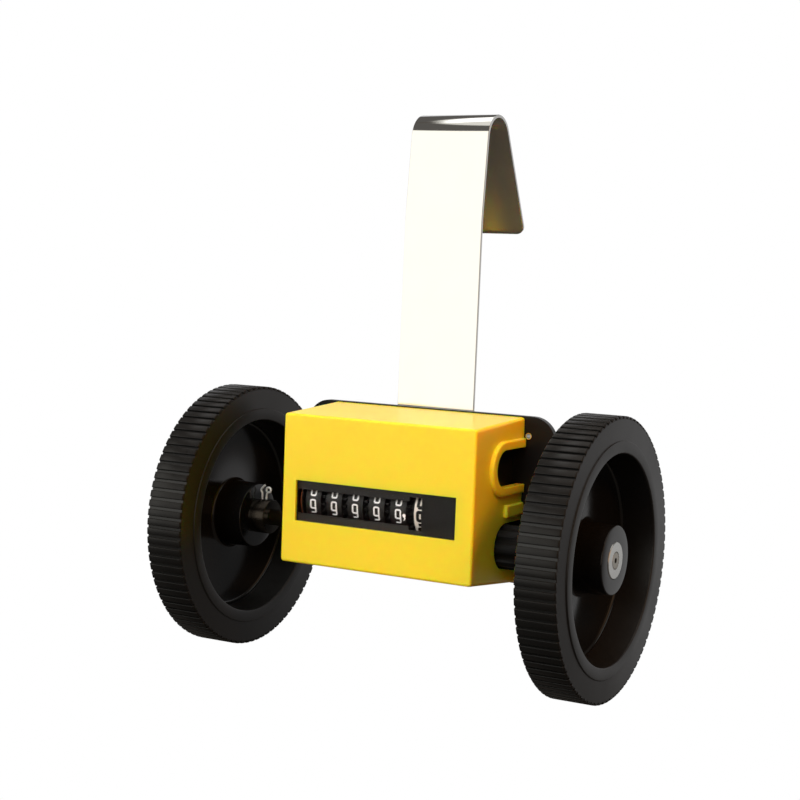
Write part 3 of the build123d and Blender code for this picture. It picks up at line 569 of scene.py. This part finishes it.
class RoundArray:
    """Geometry Nodes tree that repeats a piece round the axle."""

    def __init__(self) -> None:
        """Builds the tree with inputs Count, Start Angle and Material."""
        tree = bpy.data.node_groups.new("round_array", "GeometryNodeTree")
        add, link = tree.nodes.new, tree.links.new
        face = tree.interface
        face.new_socket("Geometry", in_out="INPUT", socket_type="NodeSocketGeometry")
        kinds = (("Count", "NodeSocketInt"), ("Start Angle", "NodeSocketFloat"),
                 ("Material", "NodeSocketMaterial"))
        self.ids = {}
        for label, kind in kinds:
            self.ids[label] = face.new_socket(label, in_out="INPUT", socket_type=kind).identifier
        face.new_socket("Geometry", in_out="OUTPUT", socket_type="NodeSocketGeometry")
        inlet, outlet = add("NodeGroupInput"), add("NodeGroupOutput")
        spots = add("GeometryNodePoints")
        link(inlet.outputs["Count"], spots.inputs["Count"])
        order = add("GeometryNodeInputIndex")
        share = add("ShaderNodeMath")
        share.operation = "DIVIDE"
        link(order.outputs[0], share.inputs[0])
        link(inlet.outputs["Count"], share.inputs[1])
        turn = add("ShaderNodeMath")
        turn.operation = "MULTIPLY_ADD"
        turn.inputs[1].default_value = 2 * math.pi
        link(share.outputs[0], turn.inputs[0])
        link(inlet.outputs["Start Angle"], turn.inputs[2])
        spin = add("ShaderNodeCombineXYZ")
        link(turn.outputs[0], spin.inputs["X"])
        copies = add("GeometryNodeInstanceOnPoints")
        link(spots.outputs[0], copies.inputs["Points"])
        link(inlet.outputs["Geometry"], copies.inputs["Instance"])
        link(spin.outputs[0], copies.inputs["Rotation"])
        real = add("GeometryNodeRealizeInstances")
        link(copies.outputs[0], real.inputs[0])
        paint = add("GeometryNodeSetMaterial")
        link(real.outputs[0], paint.inputs["Geometry"])
        link(inlet.outputs["Material"], paint.inputs["Material"])
        link(paint.outputs[0], outlet.inputs[0])
        self.tree = tree

    def repeat(self, piece: Piece, count: int, material: Material, start: float) -> Piece:
        """Replaces a piece by its copies round the axle.

        Args:
            piece: The piece to repeat.
            count: Number of copies.
            material: Finish of the copies.
            start: Angle of the first copy, in radians.

        Returns:
            The piece, now a plain mesh of all copies.
        """
        modifier = piece.modifiers.new("round_array", "NODES")
        modifier.node_group = self.tree
        values = {"Count": count, "Start Angle": start, "Material": material}
        for label, value in values.items():
            modifier[self.ids[label]] = value
        piece.update_tag()
        bpy.context.view_layer.update()
        settled = piece.evaluated_get(bpy.context.evaluated_depsgraph_get())
        mesh = bpy.data.meshes.new_from_object(settled)
        mesh.name = piece.name
        piece.modifiers.remove(modifier)
        piece.data = mesh
        return piece


# ---------------------------------------------------------------- sub-assemblies


@dataclass
class MeasuringWheel:
    """A dished wheel with a grooved tread, its dish towards +X."""

    name: str
    start: float
    radius: float = 47.75 * MM
    width: float = 15.0 * MM
    grooves: int = 90
    groove_width: float = 1.0 * MM
    groove_depth: float = 0.8 * MM
    step_radius: float = 39.6 * MM
    step: float = 0.4 * MM
    dish_radius: float = 35.4 * MM
    dish_depth: float = 12.0 * MM
    dish_draft: float = 0.8 * MM
    hub_radius: float = 11.6 * MM
    hub_draft: float = 0.6 * MM
    hub_setback: float = 0.25 * MM
    bore: float = 6.3 * MM
    land_root: float = 0.3 * MM
    land_edge: float = 0.22 * MM
    land_chamfer: float = 0.35 * MM
    corner_radii: tuple[float, ...] = (0.0, 0.15, 0.15, 0.3, 0.3, 0.15,
                                       0.2, 0.5, 1.2, 1.5, 0.35, 0.0)

    def outline(self) -> list[Point]:
        """Draws the rounded half section of the wheel, without the tread.

        Returns:
            Its points as (x, radius).
        """
        x0, x1 = self.start, self.start + self.width
        core = self.radius - self.groove_depth
        floor = x1 - self.dish_depth
        hub = x1 - self.hub_setback
        corners = [
            (x0, self.bore), (x0, self.step_radius), (x0 + self.step, self.step_radius),
            (x0 + self.step, core), (x1 - self.step, core), (x1 - self.step, self.step_radius),
            (x1, self.step_radius), (x1, self.dish_radius),
            (floor, self.dish_radius - self.dish_draft), (floor, self.hub_radius + self.hub_draft),
            (hub, self.hub_radius), (hub, self.bore),
        ]
        return rounded(corners, [r * MM for r in self.corner_radii])

    def land(self) -> Piece:
        """Makes one rounded land of the tread, centred on +Y.

        Returns:
            The land.
        """
        x0, x1 = self.start + self.step, self.start + self.width - self.step
        pitch = 2 * math.pi * self.radius / self.grooves
        half = (pitch - self.groove_width) / 2
        low, high = self.radius - self.groove_depth - self.land_root, self.radius
        section = rounded([(low, -half), (high, -half), (high, half), (low, half)],
                          [0.0, self.land_edge, self.land_edge, 0.0], steps=3)
        shape = bmesh.new()
        chamfer = self.land_chamfer
        rings = []
        for x, drop in ((x0, chamfer), (x0 + chamfer, 0.0), (x1 - chamfer, 0.0), (x1, chamfer)):
            ring = []
            for y, z in section:
                if y > low + 1e-9:
                    y -= drop
                if y > low + 1e-9:
                    y = math.sqrt(max(y * y - z * z, 0.0))
                ring.append(shape.verts.new((x, y, z)))
            rings.append(ring)
        loft(shape, rings)
        return new_piece(f"{self.name}_tread", shape, 60.0)

    def build(self, shop: Paintshop, array: RoundArray) -> None:
        """Builds the wheel and its tread.

        Args:
            shop: Gives the finishes.
            array: Repeats the lands of the tread.
        """
        body = new_piece(f"{self.name}_body", lathe(self.outline(), 180), 50.0)
        shop.dress(body, "black_wheel")
        body.data.materials.append(shop.materials["black_web"])
        inside = self.dish_radius - self.dish_draft / 2
        for face in body.data.polygons:
            face.material_index = int(math.hypot(face.center.y, face.center.z) < inside)
        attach(body, "axle_set")
        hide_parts(self.name)
        tread = array.repeat(self.land(), self.grooves, shop.materials["black_tread"],
                             math.pi / self.grooves)
        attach(tread, "axle_set")
        log.info("%s: %d lands", self.name, self.grooves)


@dataclass
class SplitPin:
    """Split pin across a bush, with its two ends bent over on top."""

    name: str
    x: float
    wire: float = 0.36 * MM
    bush_radius: float = 6.3 * MM
    half_gap: float = 0.95 * MM
    rise: Point = (1.5 * MM, 1.6 * MM)
    bend: tuple[Point, ...] = ((-1.3, 2.5), (-1.55, 3.3), (-1.0, 4.1), (0.1, 5.2))
    curl_centre: Point = (1.75 * MM, 3.45 * MM)
    curl_radius: float = 0.95 * MM

    def paths(self) -> list[list[Vector]]:
        """Draws the two ends of the wire, which run down through the bush.

        Returns:
            Their centre lines.
        """
        top, half = self.bush_radius, self.half_gap
        left = [(-half, -top), (-half, 0.0), (-half, top + self.rise[0])]
        left += [(u * MM, top + v * MM) for u, v in self.bend]
        right = [(half, -top), (half, 0.0), (half, top + self.rise[1])]
        for degree in range(-60, 221, 20):
            angle = math.radians(degree)
            right.append((self.curl_centre[0] + self.curl_radius * math.cos(angle),
                          top + self.curl_centre[1] + self.curl_radius * math.sin(angle)))
        return [[Vector((self.x + u, 0.0, v)) for u, v in flowing(line)] for line in (left, right)]

    def build(self, shop: Paintshop) -> None:
        """Builds the pin.

        Args:
            shop: Gives the finish.
        """
        piece = new_piece(f"{self.name}_wire", tube(self.paths(), self.wire))
        shop.dress(piece, "plated_wire")
        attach(piece, "axle_set")
        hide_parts(self.name)
        log.info("%s", self.name)


@dataclass
class WindowMask:
    """Black sheet behind the lens, open in front of the number wheels."""

    name: str = "window_mask"
    across: tuple[float, ...] = (-31.9 * MM, 12.5 * MM, 17.3 * MM)
    wide: Point = (6.9 * MM, 15.3 * MM)
    last: Point = (5.6 * MM, 16.8 * MM)

    def build(self, shop: Paintshop) -> None:
        """Builds the sheet from the cells round its two joined openings.

        Args:
            shop: Gives the finish.
        """
        low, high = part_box(self.name)
        xs = [low.x, *self.across, high.x]
        zs = [low.z, self.last[0], self.wide[0], self.wide[1], self.last[1], high.z]
        open_cells = {(1, 2), (2, 1), (2, 2), (2, 3)}
        shape = bmesh.new()
        corners = {(i, k): shape.verts.new((x, low.y, z))
                   for i, x in enumerate(xs) for k, z in enumerate(zs)}
        for i in range(len(xs) - 1):
            for k in range(len(zs) - 1):
                if (i, k) not in open_cells:
                    cell = ((i, k), (i + 1, k), (i + 1, k + 1), (i, k + 1))
                    shape.faces.new([corners[place] for place in cell])
        sheet = bmesh.ops.extrude_face_region(shape, geom=shape.faces[:])
        moved = [item for item in sheet["geom"] if isinstance(item, bmesh.types.BMVert)]
        bmesh.ops.translate(shape, verts=moved, vec=(0.0, high.y - low.y, 0.0))
        piece = new_piece(f"{self.name}_sheet", shape)
        shop.dress(piece, "black_mask")
        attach(piece, "case")
        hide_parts(self.name)
        log.info("%s", self.name)


@dataclass
class EndSpacer:
    """Disc beside the first number wheel, brown on part of its rim; the rest of the rim and the
    faces get the near-black finish as painted shade.
    """

    name: str = "end_spacer"
    bore: float = 2.4 * MM
    hub: float = 4.5 * MM
    hub_thick: float = 0.4 * MM
    edge: float = 0.12 * MM
    # share of the rim width that stays brown; the rest of the disc is painted shade
    brown_share: float = 0.4

    def build(self, shop: Paintshop) -> None:
        """Builds the disc.

        Args:
            shop: Gives the finishes.
        """
        low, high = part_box(self.name)
        centre = Vector((0.0, (low.y + high.y) / 2, (low.z + high.z) / 2))
        radius, seat = (high.z - low.z) / 2, low.x + self.hub_thick
        painted_shade_start = seat + (high.x - seat) * self.brown_share
        corners = [(low.x, self.bore), (low.x, self.hub), (seat, self.hub), (seat, radius),
                   (painted_shade_start, radius), (high.x, radius), (high.x, self.bore)]
        radii = [0.0, 0.0, 0.0, self.edge, 0.0, self.edge, 0.0]
        shape = lathe(rounded(corners, radii, steps=3), 96)
        bmesh.ops.translate(shape, verts=shape.verts, vec=centre)
        piece = new_piece(f"{self.name}_disc", shape)
        # the near-black finish on the faces and on the far part of the rim is painted shade on a
        # disc that is brown
        shop.dress(piece, "black_digit_wheel")
        piece.data.materials.append(shop.materials["brown_spacer"])
        for face in piece.data.polygons:
            on_rim = (face.center - centre).yz.length > radius - self.edge
            face.material_index = int(on_rim and face.center.x < painted_shade_start)
        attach(piece, "case")
        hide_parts(self.name)
        log.info("%s", self.name)


@dataclass
class HookStrap:
    """Spring steel strip, riveted behind the plate and bent over at the top."""

    middle: float = 1.3 * MM
    width: float = 30.7 * MM
    thick: float = 1.2 * MM
    foot_y: float = 14.9 * MM
    heights: tuple[float, ...] = (3.0 * MM, 44.0 * MM, 112.0 * MM, 140.7 * MM)
    leans: tuple[float, ...] = (0.0, 0.0, 0.7 * MM, 3.1 * MM)
    leg_radius: float = 60.0 * MM
    bend_radius: float = 8.08 * MM
    splay: float = 26.0
    tail: float = 40.0 * MM
    corner: float = 3.0 * MM
    edge: float = 0.22 * MM

    def path(self) -> list[Vector]:
        """Draws the middle line of the strip, from the foot to the tail.

        Returns:
            Its points in Y and Z.
        """
        leg = rounded([(self.foot_y + lean, z) for lean, z in zip(self.leans, self.heights)],
                      [self.leg_radius] * len(self.heights), steps=8, closed=False)
        start, way = Vector(leg[-1]), (Vector(leg[-1]) - Vector(leg[-2])).normalized()
        right = Vector((way.y, -way.x))
        centre = start + right * self.bend_radius
        first = math.atan2(-right.y, -right.x)
        last = math.radians(self.splay)
        arc = [first + (last - first) * k / 60 for k in range(1, 61)]
        bend = [centre + self.bend_radius * Vector((math.cos(a), math.sin(a))) for a in arc]
        down = Vector((math.sin(last), -math.cos(last)))
        line = [*(Vector(p) for p in leg), *bend, bend[-1] + down * self.tail]
        return self._with_corner_steps(line)

    def _with_corner_steps(self, line: list[Vector], steps: int = 8) -> list[Vector]:
        """Adds points near both ends, where the corners are round.

        Args:
            line: The middle line.
            steps: Points in each corner.

        Returns:
            The line with the added points.
        """
        for _ in range(2):
            way = (line[1] - line[0]).normalized()
            turns = [math.pi / 2 * k / steps for k in range(1, steps + 1)]
            added = [line[0] + way * self.corner * (1 - math.cos(turn)) for turn in turns]
            line = [line[0], *added, *line[1:]]
            line.reverse()
        return line

    def build(self, shop: Paintshop) -> None:
        """Builds the strip.

        Args:
            shop: Gives the finish.
        """
        line = self.path()
        run = [0.0]
        for a, b in zip(line, line[1:]):
            run.append(run[-1] + (b - a).length)
        shape = bmesh.new()
        rings = []
        for i, point in enumerate(line):
            way = (line[min(i + 1, len(line) - 1)] - line[max(i - 1, 0)]).normalized()
            outward = Vector((-way.y, way.x))
            left = max(self.corner - min(run[i], run[-1] - run[i]), 0.0)
            half = self.width / 2 - self.corner + math.sqrt(self.corner**2 - left**2)
            flat = self.thick / 2
            section = rounded([(-half, -flat), (half, -flat), (half, flat), (-half, flat)],
                              [self.edge] * 4, steps=3)
            rings.append([shape.verts.new((self.middle + u, *(point + outward * v)))
                          for u, v in section])
        loft(shape, rings)
        inner = len(section) // 4 - 1
        piece = new_piece("hook_strap_strip", shape, 30.0)
        shop.dress(piece, "mirror_strip")
        piece.data.materials.append(shop.materials["satin_strip"])
        for i in range(len(rings) - 1):
            piece.data.polygons[i * len(section) + inner].material_index = 1
        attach(piece, "case")
        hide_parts("hook_strap")
        log.info("hook_strap: %.1f mm of strip", run[-1] / MM)


# Strokes of each digit on a grid of -1 to 1, across and up.
DIGIT_STROKES: dict[int, list[list[Point]]] = {
    0: [[(-1, -1), (1, -1), (1, 1), (-1, 1), (-1, -1)]],
    1: [[(-0.5, 0.6), (0.1, 1), (0.1, -1)]],
    2: [[(-1, 1), (1, 1), (1, 0), (-1, 0), (-1, -1), (1, -1)]],
    3: [[(-1, 1), (1, 1), (1, -1), (-1, -1)], [(-0.4, 0), (1, 0)]],
    4: [[(-1, 1), (-1, -0.2), (1, -0.2)], [(0.6, 0.6), (0.6, -1)]],
    5: [[(1, 1), (-1, 1), (-1, 0.1), (1, 0.1), (1, -1), (-1, -1)]],
    6: [[(1, 1), (-1, 1), (-1, -1), (1, -1), (1, 0.2), (-1, 0.2)]],
    7: [[(-1, 1), (1, 1), (0, -1)]],
    8: [[(-1, -1), (1, -1), (1, 1), (-1, 1), (-1, -1)], [(-1, 0), (1, 0)]],
    9: [[(1, -0.3), (-1, -0.3), (-1, 1), (1, 1), (1, -1), (-0.9, -1)]],
}


@dataclass
class NumberWheel:
    """Raised digits round one number wheel."""

    index: int
    centre: float
    finish: str
    axis: Point
    radius: float = 9.7 * MM
    half_width: float = 0.92 * MM
    half_height: float = 2.25 * MM
    stroke: float = THIN_STROKE
    corner: float = 0.45 * MM
    relief: float = 0.10
    shown_digit: int = 9
    shown_angle: float = -10.9

    def build(self, shop: Paintshop) -> None:
        """Builds the ten digits and lays them on the rim.

        Args:
            shop: Gives the finish.
        """
        paths = []
        for digit, strokes in DIGIT_STROKES.items():
            middle = math.radians(self.shown_angle + DIGIT_STEP * (digit - self.shown_digit))
            for stroke in strokes:
                points = [(u * self.half_width, v * self.half_height) for u, v in stroke]
                flat = rounded(points, [self.corner] * len(points), steps=4, closed=False)
                paths.append([Vector((u, v, middle)) for u, v in self._divide(flat)])
        shape = bmesh.new()
        for path in paths:
            middle = path[0].z
            wire = tube([[Vector((p.x, 0.0, p.y)) for p in path]], self.stroke, 8)
            for vert in wire.verts:
                vert.co = self._wrap(vert.co, middle)
            mesh = bpy.data.meshes.new("stroke")
            wire.to_mesh(mesh)
            wire.free()
            shape.from_mesh(mesh)
            bpy.data.meshes.remove(mesh)
        piece = new_piece(f"digits_{self.index}", shape, 60.0)
        shop.dress(piece, self.finish)
        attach(piece, f"counter_wheel_{self.index}")
        log.info("digits_%d: ten digits", self.index)

    @staticmethod
    def _divide(points: list[Point], step: float = 0.5 * MM) -> list[Point]:
        """Adds points so that long strokes can follow the curve of the rim.

        Args:
            points: The stroke.
            step: Longest run left whole.

        Returns:
            The stroke with added points.
        """
        result = [points[0]]
        for a, b in zip(points, points[1:]):
            pieces = max(1, math.ceil(math.dist(a, b) / step))
            for k in range(1, pieces + 1):
                result.append(tuple(p + (q - p) * k / pieces for p, q in zip(a, b)))
        return result

    def _wrap(self, flat: Vector, middle: float) -> Vector:
        """Lays a point of a flat digit on the rim.

        Args:
            flat: Across in X, up in Z, outwards in -Y.
            middle: Angle of the digit's centre above the front.

        Returns:
            The point in the counter's frame.
        """
        angle = middle + flat.z / self.radius
        reach = self.radius - flat.y * self.relief
        return Vector((self.centre + flat.x, self.axis[0] - reach * math.cos(angle),
                       self.axis[1] + reach * math.sin(angle)))


@dataclass
class DecimalMark:
    """Printed comma on the back of the window, right of the fifth digit."""

    x: float = 10.6 * MM
    z: float = 9.7 * MM
    y: float = -22.29 * MM
    thick: float = 0.05 * MM
    dot_radius: float = 0.6
    dot_height: float = 0.55
    tail: tuple[Point, ...] = ((-0.25, -0.05), (0.12, -0.3), (0.1, -0.75), (-0.35, -1.3),
                               (0.3, -1.0), (0.6, -0.3))

    def build(self, shop: Paintshop) -> None:
        """Builds the comma as a thin raised print.

        Args:
            shop: Gives the finish.
        """
        shape = bmesh.new()
        angles = [math.radians(a) for a in range(-60, 211, 30)]
        dot = [(self.dot_radius * math.cos(a), self.dot_height + self.dot_radius * math.sin(a))
               for a in angles]
        rings = [[shape.verts.new((self.x + u * MM, self.y + depth, self.z + v * MM))
                  for u, v in (*dot, *self.tail)] for depth in (0.0, self.thick)]
        loft(shape, rings)
        piece = new_piece("decimal_comma", shape)
        shop.dress(piece, "white_print")
        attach(piece, "case")
        log.info("decimal_comma")


@dataclass
class NodeFinisher:
    """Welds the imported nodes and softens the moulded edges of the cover."""

    soft_edges: tuple[str, ...] = ("front_cover",)
    width: float = 0.4 * MM
    segments: int = 3
    angle: float = 50.0

    def build(self) -> None:
        """Adds the modifiers."""
        for name, node in NODES.items():
            weld = node.modifiers.new("weld", "WELD")
            weld.merge_threshold = WELD_DISTANCE
            if name in self.soft_edges:
                bevel = node.modifiers.new("soft_edges", "BEVEL")
                bevel.width, bevel.segments = self.width, self.segments
                bevel.limit_method, bevel.angle_limit = "ANGLE", math.radians(self.angle)
        log.info("%d packed nodes finished", len(NODES))


# ---------------------------------------------------------------- studio


@dataclass(frozen=True)
class Wall:
    """A pale part of the room, as it shows in reflections. Angles are in degrees."""

    azimuth: float  # from +X towards +Y
    half_width: float
    low: float  # elevations of its edges
    high: float
    color: Color
    soft: float = 5.0  # half the width of its side edges


@dataclass(frozen=True)
class Lamp:
    """A soft rectangular lamp. Places are in metres, power in watts."""

    name: str
    place: tuple[float, float, float]
    size: float
    power: float
    color: Color = (1.0, 1.0, 1.0)


ROOM_SHADE = (0.085, 0.075, 0.065)
WALLS = (
    Wall(0.0, 180.0, -11.0, 60.0, (0.10, 0.095, 0.09)),
    Wall(0.0, 180.0, 57.0, 91.0, (0.78, 0.77, 0.73)),
    Wall(156.0, 40.0, 60.0, 84.0, (1.7, 1.7, 1.7)),
    Wall(-120.0, 52.0, -8.0, 32.0, (1.25, 1.22, 1.12), 12.0),
    Wall(119.0, 32.0, -4.0, 26.0, (0.66, 0.66, 0.68), 8.0),
    Wall(53.0, 9.0, -30.0, -5.0, (0.12, 0.12, 0.12), 4.0),
    Wall(53.0, 9.0, -5.0, 20.0, (0.52, 0.52, 0.53), 4.0),
    Wall(76.0, 13.0, -17.0, 20.0, (0.48, 0.48, 0.48), 4.0),
    Wall(-5.0, 34.0, -6.0, 45.0, (0.62, 0.40, 0.24), 12.0),
)
WALL_EDGE = 0.02
LAMPS = (
    Lamp("key", (0.0, -1.05, 0.7), 0.6, 11.4),
    Lamp("top", (-0.1, 0.1, 1.1), 0.7, 4.0),
    Lamp("side", (0.75, -0.35, 0.75), 0.2, 6.4, (1.0, 0.42, 0.10)),
)


@dataclass
class Studio:
    """Floor, backdrop, lamps, world and camera."""

    floor_z: float = -0.32
    place: tuple[float, float, float] = (0.27638, -0.50386, 0.09390)
    yaw: float = 29.187
    pitch: float = 4.638
    roll: float = 2.136
    focal_px: float = 1646.6
    frame_px: float = 800.0
    sensor_mm: float = 36.0
    target: tuple[float, float, float] = (0.0, 0.0, 0.03)
    floor_size: float = 6.0
    floor_color: Color = (0.16, 0.13, 0.10)
    floor_roughness: float = 0.9

    def camera(self) -> None:
        """Places the camera at the photograph's viewpoint."""
        a, e, r = (math.radians(v) for v in (self.yaw, self.pitch, self.roll))
        back = Vector((math.sin(a) * math.cos(e), -math.cos(a) * math.cos(e), math.sin(e)))
        right = Vector((math.cos(a), math.sin(a), 0.0))
        up = back.cross(right)
        right, up = math.cos(r) * right + math.sin(r) * up, math.cos(r) * up - math.sin(r) * right
        data = bpy.data.cameras.new("camera")
        data.sensor_width = self.sensor_mm
        data.lens = self.focal_px / self.frame_px * data.sensor_width
        data.clip_start = 0.01
        camera = bpy.data.objects.new("camera", data)
        turn = Matrix((right, up, back)).transposed().to_4x4()
        camera.matrix_world = Matrix.Translation(self.place) @ turn
        bpy.context.scene.collection.objects.link(camera)
        bpy.context.scene.camera = camera

    def lamp(self, lamp: Lamp) -> None:
        """Adds one lamp that shows in no reflection.

        Args:
            lamp: The lamp to add.
        """
        data = bpy.data.lights.new(lamp.name, "AREA")
        data.shape = "RECTANGLE"
        data.size = data.size_y = lamp.size
        data.energy = lamp.power
        data.color = lamp.color
        place = Vector(lamp.place)
        turn = (Vector(self.target) - place).to_track_quat("-Z", "Y").to_matrix().to_4x4()
        source = bpy.data.objects.new(lamp.name, data)
        source.matrix_world = Matrix.Translation(place) @ turn
        source.visible_glossy = False
        bpy.context.scene.collection.objects.link(source)

    def floor(self) -> None:
        """Adds the pale floor, white where the camera sees it."""
        shape = bmesh.new()
        bmesh.ops.create_grid(shape, x_segments=1, y_segments=1, size=self.floor_size)
        mesh = bpy.data.meshes.new("floor")
        shape.to_mesh(mesh)
        shape.free()
        floor = bpy.data.objects.new("floor", mesh)
        mesh.transform(Matrix.Translation((0, 0, self.floor_z)))
        bpy.context.scene.collection.objects.link(floor)
        material = bpy.data.materials.new("floor")
        material.use_nodes = True
        tree = material.node_tree
        shader = tree.nodes["Principled BSDF"]
        shader.inputs["Base Color"].default_value = (*self.floor_color, 1.0)
        shader.inputs["Roughness"].default_value = self.floor_roughness
        path = tree.nodes.new("ShaderNodeLightPath")
        glow = tree.nodes.new("ShaderNodeEmission")
        glow.inputs["Strength"].default_value = 1.0
        mix = tree.nodes.new("ShaderNodeMixShader")
        tree.links.new(path.outputs["Is Camera Ray"], mix.inputs[0])
        tree.links.new(shader.outputs[0], mix.inputs[1])
        tree.links.new(glow.outputs[0], mix.inputs[2])
        tree.links.new(mix.outputs[0], tree.nodes["Material Output"].inputs["Surface"])
        mesh.materials.append(material)
        floor.visible_glossy = False

    def world(self) -> None:
        """Makes the room from its walls, white where the camera sees it."""
        world = bpy.data.worlds.new("room")
        bpy.context.scene.world = world
        world.use_nodes = True
        tree = world.node_tree
        background = tree.nodes["Background"]
        place = tree.nodes.new("ShaderNodeTexCoord")
        axes = tree.nodes.new("ShaderNodeSeparateXYZ")
        tree.links.new(place.outputs["Generated"], axes.inputs[0])
        squares = [math_node(tree, "MULTIPLY", axes.outputs[a], axes.outputs[a]) for a in "XY"]
        level = math_node(tree, "MAXIMUM", math_node(tree, "ADD", *squares), 1e-6)
        level = math_node(tree, "SQRT", level)
        total: Socket | Color = ROOM_SHADE
        for wall in WALLS:
            height = self._between(tree, axes.outputs["Z"], wall.low, wall.high)
            turn = math.radians(wall.azimuth)
            along_x = math_node(tree, "MULTIPLY", axes.outputs["X"], math.cos(turn))
            along_y = math_node(tree, "MULTIPLY", axes.outputs["Y"], math.sin(turn))
            facing = math_node(tree, "DIVIDE", math_node(tree, "ADD", along_x, along_y), level)
            reach = [min(wall.half_width + s, 180.0) for s in (wall.soft, -wall.soft)]
            edges = [math.cos(math.radians(angle)) for angle in reach]
            side = self._ramp(tree, facing, *edges)
            mask = math_node(tree, "MULTIPLY", height, side)
            total = mix_colors(tree, total, wall.color, mask)
        path = tree.nodes.new("ShaderNodeLightPath")
        total = mix_colors(tree, total, (1.0, 1.0, 1.0), path.outputs["Is Camera Ray"])
        tree.links.new(total, background.inputs["Color"])
        background.inputs["Strength"].default_value = 1.0

    @staticmethod
    def _ramp(tree: Tree, value: Socket, start: float, end: float) -> Socket:
        """Rises smoothly from 0 to 1 between two values.

        Args:
            tree: The tree that gets the node.
            value: The value to read.
            start: Where the rise starts.
            end: Where it ends.

        Returns:
            The result.
        """
        node = tree.nodes.new("ShaderNodeMapRange")
        node.interpolation_type = "SMOOTHSTEP"
        node.inputs["From Min"].default_value = start
        node.inputs["From Max"].default_value = end
        tree.links.new(value, node.inputs["Value"])
        return node.outputs["Result"]

    def _between(self, tree: Tree, value: Socket, low: float, high: float) -> Socket:
        """Is 1 between two elevations, with soft edges.

        Args:
            tree: The tree that gets the nodes.
            value: Sine of the elevation.
            low: Lower elevation in degrees.
            high: Upper elevation in degrees.

        Returns:
            The mask.
        """
        rise, fall = math.sin(math.radians(low)), math.sin(math.radians(high))
        above = self._ramp(tree, value, rise - WALL_EDGE, rise + WALL_EDGE)
        beyond = self._ramp(tree, value, fall - WALL_EDGE, fall + WALL_EDGE)
        return math_node(tree, "SUBTRACT", above, beyond)

    def build(self) -> None:
        """Sets up the whole studio."""
        bpy.context.scene.view_settings.view_transform = "Standard"
        self.camera()
        self.floor()
        self.world()
        for lamp in LAMPS:
            self.lamp(lamp)
        log.info("studio")


def main() -> None:
    """Builds every piece in order."""
    logging.basicConfig(level=logging.INFO, format="%(name)s: %(message)s")
    Studio().build()
    shop = Paintshop()
    shop.dress_frame()
    NodeFinisher().build()
    array = RoundArray()
    for name in ("left_wheel", "right_wheel"):
        MeasuringWheel(name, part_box(name)[0].x).build(shop, array)
    for name in ("left_split_pin", "right_split_pin"):
        low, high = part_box(name)
        SplitPin(name, (low.x + high.x) / 2).build(shop)
    for part in (HookStrap(), WindowMask(), EndSpacer()):
        part.build(shop)
    for index in range(1, 7):
        low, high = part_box(f"number_wheel_{index}")
        axis = ((low.y + high.y) / 2, (low.z + high.z) / 2)
        finish = "black_frame" if index == 6 else "white_print"
        stroke = BOLD_STROKE if index == 6 else THIN_STROKE
        centre = FIRST_WHEEL_X + WHEEL_PITCH * (index - 1)
        NumberWheel(index, centre, finish, axis, stroke=stroke).build(shop)
    DecimalMark().build(shop)


if __name__ == "__main__":
    main()
